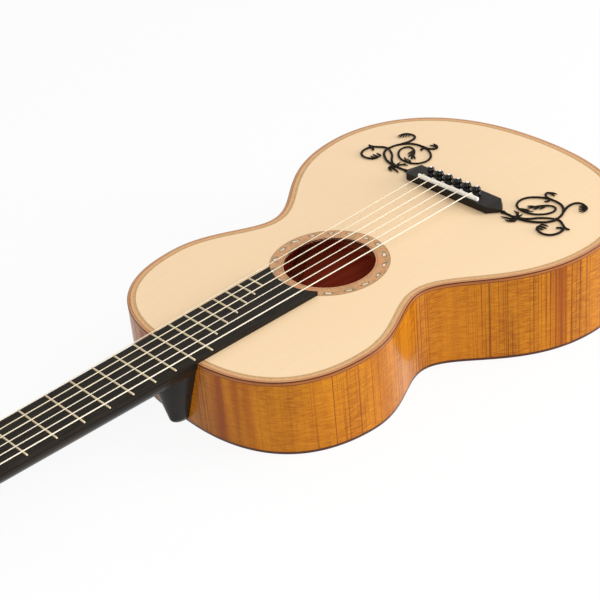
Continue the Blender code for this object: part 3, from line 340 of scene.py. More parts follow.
def circle(sides):
    """Flat points evenly round a circle of radius one."""
    turn = np.linspace(0.0, 2 * math.pi, sides, endpoint=False)
    return np.column_stack((np.cos(turn), np.sin(turn)))


def directions(path):
    """Which way a path runs, with length one: at each point from the one before to the one after."""
    ahead = np.gradient(path, axis=0)
    return ahead / np.linalg.norm(ahead, axis=1)[:, None]


# Surfaces


def grid_of(*coordinates):
    """A grid of points from its coordinates, each repeated until it has the grid's shape."""
    return np.stack(np.broadcast_arrays(*coordinates), axis=-1)


def walked(grid, axis, wrap):
    """The mean way walked over the grid along one axis, starting at nothing."""
    if wrap:
        grid = np.concatenate((grid, grid.take([0], axis=axis)), axis=axis)
    steps = np.linalg.norm(np.diff(grid, axis=axis), axis=-1).mean(axis=1 - axis)
    return np.concatenate(([0.0], np.cumsum(steps)))


def shell(rings, looped=False, caps=False):
    """Corners, faces and surface coordinates of a row of rings. Each face joins four neighbours. looped joins
    the last ring to the first, and caps closes the first and last ring with a flat face."""
    rows, cols = rings.shape[:2]
    i = np.arange(rows - 1 + looped)[:, None]
    j = np.arange(cols)[None, :]
    around = ((0, 0), (1, 0), (1, 1), (0, 1))
    faces = np.stack([(i + a) % rows * cols + (j + b) % cols for a, b in around], axis=-1)
    faces = faces.reshape(-1, 4).tolist()
    u, v = walked(rings, 0, looped), walked(rings, 1, True)
    uv = np.stack([grid_of(u[i + a], v[j + b]) for a, b in around], axis=-2).reshape(-1, 2)
    if caps:
        first = np.arange(cols)
        faces += [first[::-1].tolist(), (first + (rows - 1) * cols).tolist()]
        uv = np.concatenate((uv, np.zeros((2 * cols, 2))))
    return rings.reshape(-1, 3), faces, uv


def placed(name, data):
    """A new object in the scene."""
    obj = bpy.data.objects.new(name, data)
    bpy.context.scene.collection.objects.link(obj)
    return obj


def piece(name, shells, finish, body="body", stands_for=None, slot=None, crease=CREASE):
    """One object of closed shells. Points that coincide are merged, which closes seams and poles, and faces
    are turned outwards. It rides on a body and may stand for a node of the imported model."""
    points, faces, uv, start = [], [], [], 0
    for corners, quads, coords in shells:
        points.append(corners)
        faces += [[start + corner for corner in face] for face in quads]
        uv.append(coords)
        start += len(corners)
    mesh = bpy.data.meshes.new(name)
    mesh.from_pydata(np.concatenate(points), [], faces)
    layer = mesh.uv_layers.new(name="surface")
    layer.data.foreach_set("uv", np.concatenate(uv).ravel())
    bm = bmesh.new()
    bm.from_mesh(mesh)
    bmesh.ops.remove_doubles(bm, verts=bm.verts, dist=1e-7)
    bmesh.ops.recalc_face_normals(bm, faces=bm.faces)
    bm.to_mesh(mesh)
    bm.free()
    obj = placed(name, mesh)
    soften(obj, crease)
    for material in finish if isinstance(finish, tuple) else (finish,):
        mesh.materials.append(material)
    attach(obj, body)
    if stands_for:
        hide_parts(stands_for)
    return obj


def soften(obj, crease):
    """Shades the faces as one surface, except over edges sharper than the crease."""
    obj.data.shade_smooth()
    obj.data.set_sharp_from_angle(angle=math.radians(crease))


def drill(obj, centres, radius, bottom, top, place):
    """Cuts upright round holes through a piece and keeps the result as its mesh."""
    for centre in centres:
        ring = centre + radius * circle(48)
        rings = np.stack([place(raised(ring, z)) for z in (bottom, top)])
        cutter = piece("cutter", [shell(rings, caps=True)], ())
        cut = obj.modifiers.new("hole", "BOOLEAN")
        cut.object = cutter
        cut.solver = "EXACT"
        graph = bpy.context.evaluated_depsgraph_get()
        mesh = bpy.data.meshes.new_from_object(obj.evaluated_get(graph))
        mesh.name = obj.name
        obj.modifiers.clear()
        obj.data = mesh
        bpy.data.objects.remove(cutter)
    soften(obj, CREASE)


def turned(profile, sides, place):
    """A turned shell: each (radius, height) of the profile goes round the upright axis of the place."""
    radius, height = np.asarray(profile, float).T[:, :, None]
    x, y = circle(sides).T
    return shell(place(grid_of(radius * x, radius * y, height)))


def carried(path, across, upward, widths, heights, section):
    """A section carried along a path. Its first coordinate runs across the path times the width there, and
    its second upwards times the height."""
    side = section[None, :, :1] * widths[:, None, None] * across[:, None, :]
    rise = section[None, :, 1:] * heights[:, None, None] * upward[:, None, :]
    return path[:, None, :] + side + rise


# Finishes


def tint(red, green, blue):
    """A colour as seen on a screen, from 0 to 255, in the linear numbers that shaders take."""
    value = np.array((red, green, blue)) / 255.0
    linear = np.where(value <= 0.04045, value / 12.92, ((value + 0.055) / 1.055) ** 2.4)
    return (*linear.tolist(), 1.0)


class Patterns:
    """The nodes of a material or of the world."""

    def __init__(self, tree):
        """Keeps the tree that the nodes go into."""
        self.tree = tree

    def add(self, kind, values=(), **choices):
        """Adds a node with its choices, feeds its sockets with numbers or other nodes' outputs, and gives its
        own outputs."""
        node = self.tree.nodes.new("ShaderNode" + kind)
        for choice, value in choices.items():
            setattr(node, choice, value)
        for socket, value in dict(values).items():
            if isinstance(value, bpy.types.NodeSocket):
                self.tree.links.new(value, node.inputs[socket])
            else:
                node.inputs[socket].default_value = value
        return node.outputs

    def reckon(self, how, first, second=0.0):
        """One sum of two numbers, or of one."""
        return self.add("Math", {0: first, 1: second}, operation=how)["Value"]

    def show_instead(self, lit, shown, share, output):
        """Camera, polish and glass see a share of the second shader where other light meets the first."""
        path = self.add("LightPath")
        seen = self.reckon("MAXIMUM", path["Is Camera Ray"], path["Is Glossy Ray"])
        seen = self.reckon("MAXIMUM", seen, path["Is Transmission Ray"])
        mix = self.add("MixShader", {0: self.reckon("MULTIPLY", seen, share), 1: lit[0], 2: shown[0]})
        self.tree.links.new(mix[0], self.tree.nodes[output].inputs["Surface"])


class Finish(Patterns):
    """A material, the one shader whose own sockets hold every plain number, and the patterns that feed it."""

    def __init__(self, name, specular=0.5, **sockets):
        """A new material, and the plain numbers of its shader's sockets, whose names have _ for a space."""
        self.material = bpy.data.materials.new(name)
        self.material.use_nodes = True
        super().__init__(self.material.node_tree)
        self.shader = self.tree.nodes["Principled BSDF"]
        for socket, value in {"Specular_IOR_Level": specular, **sockets}.items():
            self.shader.inputs[socket.replace("_", " ")].default_value = value

    def times(self, first, second):
        """The product of two numbers."""
        return self.reckon("MULTIPLY", first, second)

    def off(self, value, place):
        """How far a value is from a place, on either side."""
        return self.reckon("ABSOLUTE", self.reckon("SUBTRACT", value, place))

    def spread(self, source, scale=(1.0, 1.0, 1.0), place=(0.0, 0.0, 0.0)):
        """Texture coordinates, stretched and moved for a pattern."""
        values = {"Vector": self.add("TexCoord")[source], "Scale": scale, "Location": place}
        return self.add("Mapping", values)["Vector"]

    def parts(self, vector):
        """The three coordinates of a vector."""
        return self.add("SeparateXYZ", {"Vector": vector})

    def noise(self, vector, scale=1.0, detail=3.0, roughness=0.5, distortion=0.0):
        """Cloudy noise from 0 to 1, with finer clouds in it for each step of detail."""
        values = {"Vector": vector, "Scale": scale, "Detail": detail, "Roughness": roughness}
        return self.add("TexNoise", {**values, "Distortion": distortion})["Fac"]

    def field(self, x, y, x_scale, y_scale, layer, **settings):
        """Noise stretched along two coordinates, in one layer of its third."""
        values = {0: self.times(x, x_scale), 1: self.times(y, y_scale), 2: layer}
        return self.noise(self.add("CombineXYZ", values)["Vector"], **settings)

    def ramp(self, factor, *stops):
        """A run of colours, each stop a place from 0 to 1 and its colour."""
        node = self.tree.nodes.new("ShaderNodeValToRGB")
        elements = node.color_ramp.elements
        while len(elements) < len(stops):
            elements.new(0.5)
        for element, (place, color) in zip(elements, stops):
            element.position = place
            element.color = tint(*color)
        self.tree.links.new(factor, node.inputs["Fac"])
        return node.outputs["Color"]

    def between(self, factor, low, high, start, end):
        """A number that goes from start to end as the factor goes from low to high."""
        values = {"Value": factor, "From Min": low, "From Max": high, "To Min": start, "To Max": end}
        return self.add("MapRange", values)["Result"]

    def mixed(self, factor, first, second):
        """The first colour where the factor is 0 and the second where it is 1."""
        return self.add("Mix", {0: factor, 6: first, 7: second}, data_type="RGBA")[2]

    def layered(self, color, *layers):
        """Colours over a first one. A layer shows from start to end as its pattern goes from low to high."""
        for pattern, low, high, start, end, layer in layers:
            color = self.mixed(self.between(pattern, low, high, start, end), color, tint(*layer))
        return color

    def done(self, color, mark, rough, smooth, hills=None, distance=0.0, strength=0.3):
        """Puts on the colour, a roughness that goes from rough to smooth as the mark rises, and small hills
        and hollows that only the light sees."""
        self.tree.links.new(color, self.shader.inputs["Base Color"])
        self.tree.links.new(self.between(mark, 0.3, 0.7, rough, smooth), self.shader.inputs["Roughness"])
        if hills is not None:
            bump = self.add("Bump", {"Strength": strength, "Distance": distance, "Height": hills})
            self.tree.links.new(bump["Normal"], self.shader.inputs["Normal"])
        return self.material


def spruce_finish():
    """Pale spruce in two mirrored halves: fine lengthwise grain, faint cross silk and slow changes of
    tone."""
    wood = Finish("spruce", 0.3, Coat_Weight=0.1, Coat_Roughness=0.3)
    x, y = wood.parts(wood.spread("Object"))[:2]
    x = wood.reckon("ABSOLUTE", x)
    grain = wood.field(x, y, 900.0, 5.0, 0.0)
    silk = wood.field(x, y, 60.0, 700.0, 0.0, detail=2.0)
    tone = wood.field(x, y, 14.0, 4.0, 3.0, detail=2.0)
    color = wood.layered(
        wood.ramp(grain, (0.28, (247, 214, 170)), (0.50, (250, 218, 175)), (0.75, (251, 219, 178))),
        (silk, 0.45, 0.75, 0.0, 0.35, (252, 223, 184)),
        (tone, 0.40, 0.70, 0.0, 0.25, (248, 213, 167)),
    )
    return wood.done(color, grain, 0.42, 0.34, grain, 0.00003, 0.4)


def honey_wood_finish(name, source, swap):
    """Honey-coloured flamed wood under a clear polish. Over its slow glow lie fine cross ripples, small dark
    specks, dark red bands with brown edges, and thin dark lines in groups."""
    wood = Finish(name, 0.08, Coat_Weight=0.20, Coat_Roughness=0.08)
    x, y = wood.parts(wood.spread(source))[:2]
    along, across = (y, x) if swap else (x, y)

    def field(lengthwise, crosswise, **settings):
        """Noise stretched along the wood and across it."""
        return wood.field(along, across, lengthwise, crosswise, 1.7, **settings)

    glow = field(60.0, 9.0, detail=2.0)
    bands = field(34.0, 2.0, detail=2.0, distortion=0.4)
    lines = field(760.0, 2.6, detail=2.0, roughness=0.6)
    groups = field(22.0, 2.0, detail=1.0)
    ripples = field(120.0, 780.0, detail=2.0, distortion=0.3)
    specks = field(1500.0, 1100.0, detail=1.0)
    color = wood.layered(
        wood.ramp(glow, (0.34, (156, 87, 4)), (0.52, (174, 102, 6)), (0.68, (186, 112, 8))),
        (ripples, 0.36, 0.64, 0.0, 0.60, (208, 136, 26)),
        (specks, 0.30, 0.50, 0.40, 0.0, (138, 70, 8)),
        (bands, 0.29, 0.37, 0.75, 0.0, (128, 52, 10)),
        (bands, 0.37, 0.46, 0.35, 0.0, (148, 72, 10)),
    )
    grouped = wood.times(
        wood.between(lines, 0.39, 0.46, 0.80, 0.0), wood.between(groups, 0.38, 0.54, 0.10, 1.0)
    )
    color = wood.mixed(grouped, color, tint(104, 46, 8))
    return wood.done(color, lines, 0.34, 0.24, ripples, 0.00002)


def grained_finish(name, light, dark, roughness, scale=(400, 400, 400), specular=0.3, coat=0.0):
    """Plain wood: streaks between two tones, pores that roughen and dent it, and a slow change of tone."""
    wood = Finish(name, specular, Coat_Weight=coat, Coat_Roughness=0.15)
    streaks = wood.noise(wood.spread("Object", scale), detail=4.0, roughness=0.6)
    tone = wood.noise(wood.spread("Object", (22.0, 22.0, 22.0)), detail=2.0)
    color = wood.ramp(streaks, (0.32, dark), (0.66, light))
    color = wood.layered(color, (tone, 0.35, 0.70, 0.0, 0.25, dark))
    return wood.done(color, streaks, roughness + 0.08, roughness - 0.04, streaks, 0.00004, 0.4)


def black_polish_finish():
    """Ink-black polish over wood whose brown shows through where it is thin, with faint rubbed marks."""
    polish = Finish("black_polish", 0.1, Coat_Weight=0.12, Coat_Roughness=0.1)
    cloud = polish.noise(polish.spread("Object", (40.0, 12.0, 40.0)), detail=3.0)
    rub = polish.noise(polish.spread("Object", (900.0, 60.0, 900.0)), detail=2.0)
    color = polish.ramp(cloud, (0.35, (24, 22, 19)), (0.75, (40, 31, 22)))
    return polish.done(color, rub, 0.24, 0.36, rub, 0.00001)


def bone_finish():
    """Bone: cream with faint long streaks and small pores."""
    bone = Finish("bone", Coat_Weight=0.2, Coat_Roughness=0.2)
    streaks = bone.noise(bone.spread("Object", (60.0, 900.0, 900.0)), detail=3.0)
    color = bone.ramp(streaks, (0.30, (240, 236, 222)), (0.60, (254, 253, 248)))
    return bone.done(color, streaks, 0.42, 0.30, streaks, 0.00002)


def rosette_finish():
    """Burl ring laid out by angle and distance from the hole's middle: knotted tan wood with orange and
    green-grey stains, long chips of pearl in dark settings along its outer half, and a brown line near the
    hole."""
    burl = Finish("burl_rosette", Coat_Weight=0.35, Coat_Roughness=0.15)
    centre = lean((0.0, SOUNDHOLE_Y, TOP_Z))
    flat = burl.spread("Object", (1.0, 1.0, 0.0), (-centre[0], -centre[1], 0.0))
    radius = burl.add("VectorMath", {0: flat}, operation="LENGTH")["Value"]
    x, y = burl.parts(flat)[:2]
    angle = burl.reckon("ARCTAN2", x, burl.times(y, -1.0))
    knots = burl.noise(flat, scale=200.0, detail=4.0, roughness=0.6, distortion=1.6)
    stain = burl.noise(flat, scale=90.0, detail=2.0)
    turn = burl.reckon("ADD", burl.times(angle, CHIP_COUNT / (2 * math.pi)), burl.times(stain, 0.5))
    along = burl.times(burl.off(burl.reckon("FRACT", turn), 0.5), CHIP_PITCH / CHIP_HALF_LENGTH)
    wobble = burl.times(burl.reckon("SUBTRACT", stain, 0.5), CHIP_WOBBLE)
    across = burl.off(burl.reckon("ADD", radius, wobble), ROSETTE_RADIUS - CHIP_FROM_EDGE)
    across = burl.times(across, 1 / CHIP_HALF_WIDTH)
    away = burl.reckon("ADD", burl.reckon("MAXIMUM", along, across), burl.times(knots, 0.8))
    rim = burl.off(radius, SOUNDHOLE_RADIUS + RIM_LINE_OUT)
    tones = ((0.32, (160, 106, 54)), (0.46, (192, 136, 76)), (0.60, (212, 158, 98)), (0.74, (176, 122, 68)))
    color = burl.layered(
        burl.ramp(knots, *tones),
        (stain, 0.50, 0.60, 0.0, 0.60, (214, 134, 66)),
        (stain, 0.38, 0.46, 0.50, 0.0, (160, 130, 80)),
        (away, 1.95, 2.25, 0.85, 0.0, (112, 92, 58)),
        (away, 1.25, 1.40, 1.0, 0.0, (232, 216, 184)),
        (rim, *RIM_LINE_FADE, 0.7, 0.0, (150, 98, 54)),
    )
    return burl.done(color, knots, 0.36, 0.24, knots, 0.00002)


def pearl_finish():
    """Mother of pearl: milky layers that lean to green and rose."""
    pearl = Finish("pearl", Coat_Weight=0.8, Coat_Roughness=0.05)
    layers = pearl.noise(pearl.spread("Object", (700.0, 300.0, 700.0)), detail=2.0, distortion=1.5)
    color = pearl.ramp(layers, (0.30, (214, 224, 214)), (0.50, (246, 244, 238)), (0.70, (240, 216, 214)))
    return pearl.done(color, layers, 0.30, 0.16)


def binding_finish():
    """Brown wood that follows the way round the binding's section: a dark line at the corner and a fainter
    one below it, brown down the side and paler on the top. The side's darker brown is painted shade."""
    wood = Finish("brown_binding", 0.2, Coat_Weight=0.2, Coat_Roughness=0.12)
    way = wood.parts(wood.spread("UV"))[0]
    streaks = wood.noise(wood.spread("UV", (900.0, 30.0, 1.0)), detail=4.0, roughness=0.6)
    # The side is the face's wood in a darker brown: painted shade on the upright side.
    side = wood.ramp(streaks, (0.32, (140, 76, 26)), (0.66, (176, 106, 46)))
    face = wood.ramp(streaks, (0.32, (182, 122, 74)), (0.66, (206, 148, 98)))
    color = wood.mixed(wood.between(way, *BINDING_SIDE_SHADE_FADE, 0.0, 1.0), side, face)
    lines = wood.reckon(
        "ADD", wood.between(way, *CORNER_LINE_FADE, 1.0, 0.0), wood.between(way, *LOWER_LINE_FADE, 0.0, 0.7)
    )
    lines = wood.times(lines, wood.between(way, *LOWER_LINE_END, 1.0, 0.0))
    color = wood.mixed(lines, color, tint(84, 34, 6))
    return wood.done(color, streaks, 0.36, 0.26, streaks, 0.00002, 0.4)


def string_finish(name, light, dark, pitch, depth):
    """A string: fine windings across its length, each a shallow groove painted darker than its crest as shade
    in the groove.
    """
    string = Finish(name)
    along = string.parts(string.spread("UV"))[0]
    wave = string.reckon("SINE", string.times(along, 2 * math.pi / pitch))
    slow = string.noise(string.spread("UV", (120.0, 300.0, 1.0)), detail=2.0)
    # The wave's dark colour in each groove is painted shade, and the slow noise is a real change of tone.
    layers = ((wave, -1.0, 1.0, 0.35, 0.0, dark), (slow, 0.3, 0.7, 0.0, 0.25, dark))
    color = string.layered(tint(*light), *layers)
    return string.done(color, slow, 0.38, 0.26, wave, depth, 0.5)


FLAMED = honey_wood_finish("flamed_honey_wood", "UV", False)
FLAMED_BACK = honey_wood_finish("flamed_honey_back", "Object", True)
SPRUCE = spruce_finish()
BLACK_POLISH = black_polish_finish()
BONE = bone_finish()
PEARL = pearl_finish()
ROSETTE = rosette_finish()
BINDING = binding_finish()
EBONY = grained_finish("ebony", (44, 38, 31), (24, 20, 16), 0.45, (700, 14, 700), 0.08)
BRIDGE_EBONY = grained_finish("bridge_ebony", (38, 33, 27), (22, 19, 16), 0.26, (14, 500, 500), 0.12)
ROUND_EBONY = grained_finish("turned_ebony", (24, 21, 18), (12, 11, 10), 0.14, (400, 400, 60), 0.15, 0.1)
SCROLL_EBONY = grained_finish("scroll_ebony", (34, 25, 16), (18, 13, 8), 0.40, (300, 300, 300), 0.05)
BACK_BINDING = grained_finish("dark_binding", (92, 44, 20), (60, 28, 14), 0.28, (300, 300, 900), 0.2, 0.2)
OUTER_PURFLING = grained_finish("tan_purfling", (230, 180, 130), (214, 160, 108), 0.34)
INNER_PURFLING = grained_finish("olive_purfling", (210, 170, 116), (190, 150, 98), 0.34)
ROSETTE_EDGE = grained_finish("grey_line", (186, 154, 108), (158, 130, 90), 0.34)
ROSETTE_RIM = grained_finish("rose_line", (216, 164, 118), (196, 140, 98), 0.34)
FRET_BONE = grained_finish("fret_bone", (244, 226, 190), (230, 208, 168), 0.35, (60, 900, 900))
# Linings, blocks and bridge plate: reddish brown, darker than their plain wood as painted shade of the body's
# inside.
INNER_WOOD = grained_finish("inner_wood_painted_shade", (196, 104, 62), (160, 76, 44), 0.62, (260, 14, 260), 0.2)
# Inner faces of back and ribs: the maple's own red-brown with painted shade of the closed body in its deeper
# red.
INSIDE_SHADE_WOOD = grained_finish("inside_wood_painted_shade", (232, 94, 60), (206, 72, 46), 0.66, (260, 10, 260), 0.1)
# Dark brown on the soundhole's wall and the top's underside: painted shade of the body's inside.
HOLE_SHADE_FINISH = grained_finish("hole_wall_painted_shade", (96, 34, 20), (70, 22, 14), 0.50, specular=0.1)
BRACE_WOOD = grained_finish("brace_wood", (206, 118, 70), (176, 92, 52), 0.55, (14, 500, 500), 0.2)
# The second colour of each string is both the painted shade in its grooves and its darker tone.
PLAIN_STRING = string_finish("plain_string", (238, 224, 196), (222, 206, 174), 0.0030, 0.00001)
WOUND_STRING = string_finish("wound_string", (248, 238, 216), (226, 214, 190), 0.00035, 0.00005)


# Body


def edge_ring(name, rows, finish, **settings):
    """A closed band round the body: one loop for each corner of its section."""
    return piece(name, [shell(np.stack(rows), looped=True)], finish, **settings)


def square_section(loop, first, second, low, high):
    """The loops of an upright section with square corners, from one inset or radius to another."""
    return [loop(first, high), loop(first, low), loop(second, low), loop(second, high)]


def paint_inside(obj, chosen):
    """Gives the second finish to the faces that are chosen by their centres and directions."""
    count = len(obj.data.polygons)
    centres, normals = np.empty(count * 3), np.empty(count * 3)
    obj.data.polygons.foreach_get("center", centres)
    obj.data.polygons.foreach_get("normal", normals)
    index = chosen(centres.reshape(-1, 3), normals.reshape(-1, 3)).astype(np.int32)
    obj.data.polygons.foreach_set("material_index", index)


def in_hole(centres, normals):
    """True on the wall of the soundhole and on the underside of the top."""
    middle = lean((0.0, SOUNDHOLE_Y, TOP_Z))
    away = np.linalg.norm((centres - middle)[:, :2], axis=1)
    return (normals[:, 2] < -0.5) | ((away < HOLE_WALL_WITHIN) & (normals[:, 2] < 0.5))


def make_soundboard():
    """A plate between the body's edge and the hole, with a ledge for the purflings, a seat for the rosette
    and holes for the pins, and two purflings round its edge."""
    rim = BINDING_WIDTH + GAP
    low = TOP_Z - PURFLING_DEPTH
    seat = TOP_Z - ROSETTE_THICKNESS - GAP
    under = TOP_Z - SOUNDBOARD_THICKNESS
    ring_radius = ROSETTE_RADIUS + GAP / 3
    rows = [
        body_loop(PURFLING_END, TOP_Z), body_loop(PURFLING_END, low - GAP), body_loop(rim, low - GAP),
        body_loop(rim, under), hole_circle(SOUNDHOLE_RADIUS, under), hole_circle(SOUNDHOLE_RADIUS, seat),
        hole_circle(ring_radius, seat), hole_circle(ring_radius, TOP_Z),
    ]
    board = edge_ring("soundboard_top", rows, (SPRUCE, HOLE_SHADE_FINISH), stands_for="soundboard", slot="spruce_top")
    drill(board, pin_places(), PIN_HOLE_RADIUS, under - DRILL_PAST, TOP_Z + DRILL_PAST, lean)
    # The wall of the hole and the top's underside get the painted shade.
    paint_inside(board, in_hole)
    for name, near, far, finish in (
        ("outer_purfling", rim, PURFLING_JOIN, OUTER_PURFLING),
        ("inner_purfling", PURFLING_JOIN, PURFLING_END - GAP / 3, INNER_PURFLING),
    ):
        edge_ring(name, square_section(body_loop, near, far, low, TOP_Z), finish, slot="rosewood_binding")


def make_rosette():
    """Three flat rings round the hole, side by side: an inner line, the burl ring and an outer line."""
    near, far = SOUNDHOLE_RADIUS + ROSETTE_LINE, ROSETTE_RADIUS - ROSETTE_LINE
    for name, inner, outer, finish, node in (
        ("rosette_ring", near, far, ROSETTE, "rosette"),
        ("rosette_outer_line", far, ROSETTE_RADIUS, ROSETTE_EDGE, None),
        ("rosette_inner_line", SOUNDHOLE_RADIUS, near, ROSETTE_RIM, None),
    ):
        rows = square_section(hole_circle, outer, inner, TOP_Z - ROSETTE_THICKNESS, TOP_Z)
        band = edge_ring(name, rows, (finish, HOLE_SHADE_FINISH), stands_for=node, slot="burl_rosette")
        paint_inside(band, in_hole)


def make_bindings():
    """A band round the top's edge and one round the back's, each with a rounded outer corner."""
    cut = EDGE * np.array((1.0, 0.3, 0.0))
    for name, loop, face, inwards, height, finish, node in (
        ("top_edge_binding", body_loop, TOP_Z, -1.0, BINDING_HEIGHT, BINDING, "top_binding"),
        ("back_edge_binding", back_loop, 0.0, 1.0, BACK_THICKNESS, BACK_BINDING, "back_binding"),
    ):
        far = face + inwards * height
        rows = [loop(inset, face + inwards * drop) for inset, drop in zip(cut, cut[::-1])]
        rows += [loop(0.0, far), loop(BINDING_WIDTH, far), loop(BINDING_WIDTH, face)]
        edge_ring(name, rows, finish, stands_for=node, slot="rosewood_binding")


def make_back():
    """A plate of rings that shrink from the body's edge to one point, on both faces."""
    inset = BINDING_WIDTH + GAP / 3
    shares = np.linspace(0.0, 1.0, 9)[:, None, None]
    middle = np.array((0.0, SOUNDHOLE_Y, 0.0))
    middle_high = middle + (0.0, 0.0, BACK_THICKNESS)
    low = middle + (back_loop(inset, 0.0) - middle) * shares
    high = middle_high + (back_loop(inset, BACK_THICKNESS) - middle_high) * shares[::-1]
    shells = [shell(np.concatenate((low, high)))]
    back = piece("back_plate", shells, (FLAMED_BACK, INSIDE_SHADE_WOOD), stands_for="back", slot="flamed_maple")
    paint_inside(back, lambda centres, normals: normals[:, 2] > 0.5)


def make_ribs():
    """Each rib is a four-cornered section carried along half the outline, from under the top binding to the
    back."""
    top = TOP_Z - BINDING_HEIGHT - GAP / 3
    lift = (BACK_THICKNESS + GAP / 3) / math.cos(TAPER)
    outer, inner = (inset_loop(OUTLINE, inset)[: len(HALF)] for inset in (0.0, RIB_THICKNESS))
    for name, side, node in (("treble_rib", 1.0, "ribs_treble"), ("bass_rib", -1.0, "ribs_bass")):
        rows = []
        for line, upper in ((outer, True), (outer, False), (inner, False), (inner, True)):
            flat = np.column_stack((np.maximum(line[:, 0], GAP / 3) * side, line[:, 1]))
            rows.append(lean(raised(flat, top if upper else line[:, 1] * TAPER_SLOPE + lift)))
        shells = [shell(np.stack(rows, axis=1), caps=True)]
        rib = piece(name, shells, (FLAMED, INSIDE_SHADE_WOOD), stands_for=node, slot="flamed_maple")
        paint_inside(rib, lambda centres, normals: rib_inside(centres, normals, side))


def rib_inside(centres, normals, side):
    """True on a rib's upright faces that lie nearer to the outline's inner line than to the outline."""
    flat = (centres @ LEAN)[:, None, :2]
    lines = (inset_loop(OUTLINE, inset)[: len(HALF)] * (side, 1.0) for inset in (0.0, RIB_THICKNESS))
    to_outer, to_inner = (np.linalg.norm(flat - line, axis=2).min(axis=1) for line in lines)
    return (to_inner < to_outer) & (np.abs(normals[:, 2]) < 0.9)


# Bridge work


def string_share(index):
    """From +0.5 at the first, treble string to -0.5 at the last."""
    return 0.5 - index / (STRING_COUNT - 1)


def pin_places():
    """Where the bridge pins stand: in a straight row, spread as the strings are at the saddle."""
    return [(string_share(i) * STRING_SPREAD_SADDLE, PIN_Y) for i in range(STRING_COUNT)]


def pearl_profile(radius, rim, crown, foot):
    """A round pearl: a quarter ellipse over the rim's height, and a flat foot."""
    arc = np.radians(np.linspace(0.0, 90.0, 7))
    dome = np.column_stack((radius * np.sin(arc), rim + crown * np.cos(arc)))
    return np.concatenate((dome, ((radius, foot), (0.0, foot))))


def make_turned(kind, node, places, height, place, profile, sides, pearl):
    """Turns a profile and its pearl at each place. Both ride on the body of that place."""
    for number, (x, y) in enumerate(places, start=1):
        stand = lambda grid: place(grid + (x, y, height))
        body, whole = f"{kind}_{number}_body", f"{node}_{number}"
        shells = [turned(profile, sides, stand)]
        piece(f"turned_{kind}_{number}", shells, ROUND_EBONY, body, stands_for=whole, slot="ebony")
        piece(f"{kind}_pearl_{number}", [turned(pearl, PEARL_SIDES, stand)], PEARL, body, slot="bone")


def make_pins():
    """Bridge pins turned from one profile: ball, bead, collar and tapered shank, with a pearl in the ball."""
    ball_z = PIN_HEAD_HEIGHT - PIN_BALL_RADIUS
    start = math.asin(PEARL_RADIUS / PIN_BALL_RADIUS)
    rim_z = ball_z + PIN_BALL_RADIUS * math.cos(start)
    turn = np.linspace(start, PIN_DOME_END, 18)
    ball = np.column_stack((PIN_BALL_RADIUS * np.sin(turn), ball_z + PIN_BALL_RADIUS * np.cos(turn)))
    seat = ((0.0, rim_z - EDGE), (PEARL_RADIUS, rim_z - EDGE))
    rim = np.radians(np.linspace(90.0, -90.0, 9))
    bead_z = ball_z - PIN_BALL_RADIUS * PIN_BEAD_BELOW - PIN_BEAD
    bead_x = PIN_COLLAR_RADIUS - PIN_BEAD + PIN_BEAD * np.cos(rim)
    bead = np.column_stack((bead_x, bead_z + PIN_BEAD * np.sin(rim)))
    collar, shank = PIN_COLLAR_RADIUS, PIN_SHANK_RADIUS
    foot = (
        (collar - 2 * PIN_BEAD, bead_z - PIN_BEAD * 1.2), (collar - EDGE, GAP + EDGE * 1.4),
        (collar - EDGE * 1.6, GAP), (shank, GAP), (shank * 0.98, -0.001),
        (shank * 0.85, -PIN_LENGTH * 0.95), (shank * 0.5, -PIN_LENGTH * 0.99), (0.0, -PIN_LENGTH),
    )
    profile = np.concatenate((seat, ball, bead, foot))
    pearl = pearl_profile(PEARL_RADIUS, rim_z, PIN_HEAD_HEIGHT - rim_z, rim_z - EDGE)
    make_turned("pin", "bridge_pin", pin_places(), BRIDGE_TOP_Z, lean, profile, 40, pearl)


def scroll_shell(line, width, height, section, side):
    """A section carried along a line of the scrolls' drawing, lying on the soundboard."""
    shift = 0.0 if side > 0 else BASS_SCROLL_SHIFT
    flat = np.column_stack((side * (line[:, 0] * MILLIMETRE + shift), line[:, 1] * MILLIMETRE))
    path = raised(flat, TOP_Z + GAP + STRAND_RADIUS * STRAND_FLATTEN)
    upward = np.broadcast_to((0.0, 0.0, 1.0), path.shape)
    across = np.cross(directions(path), upward)
    return shell(lean(carried(path, across, upward, width, height, section)), caps=True)


def strand_shell(points, side):
    """A flattened strand that thins a little towards its free end and closes in a round tip."""
    line = smooth_line(points, 5)
    way = np.linspace(0.0, 1.0, len(line))
    width = STRAND_RADIUS * (STRAND_START - STRAND_THINNING * way) * np.sqrt(1.0 - way**50)
    return scroll_shell(line, width, width * STRAND_FLATTEN, circle(12), side)


def blade_shell(blade, side):
    """A leaf blade: its middle bends from root to tip, and its width follows a half wave that comes early."""
    root, bend, tip = np.reshape(blade[:6], (3, 2))
    way = np.linspace(0.0, 1.0, 12)
    t = way[:, None]
    line = (1 - t) ** 2 * root + 2 * (1 - t) * t * bend + t**2 * tip
    shape = np.sin(math.pi * way**BLADE_EARLY) ** BLADE_FULLNESS
    ridge = circle(14)
    ridge[:, 1] *= 1.0 - BLADE_RIDGE * np.abs(ridge[:, 0])
    height = STRAND_RADIUS * STRAND_FLATTEN * (BLADE_HEIGHT - BLADE_FALL * way)
    height *= np.clip(shape * BLADE_RISE, 0.0, 1.0)
    return scroll_shell(line, blade[6] * MILLIMETRE * shape, height, ridge, side)


def stem_root(side):
    """The stem's broad root at the bridge's tip, which narrows to the strand in a hollow curve."""
    way = np.linspace(0.0, 1.0, 16)[:, None]
    width, height = (np.array(STEM_THIN) + np.array(STEM_ADDED) * (1.0 - way) ** STEM_HOLLOW).T
    return scroll_shell(np.array(STEM_START) + np.array(STEM_RUN) * way, width, height, circle(14), side)


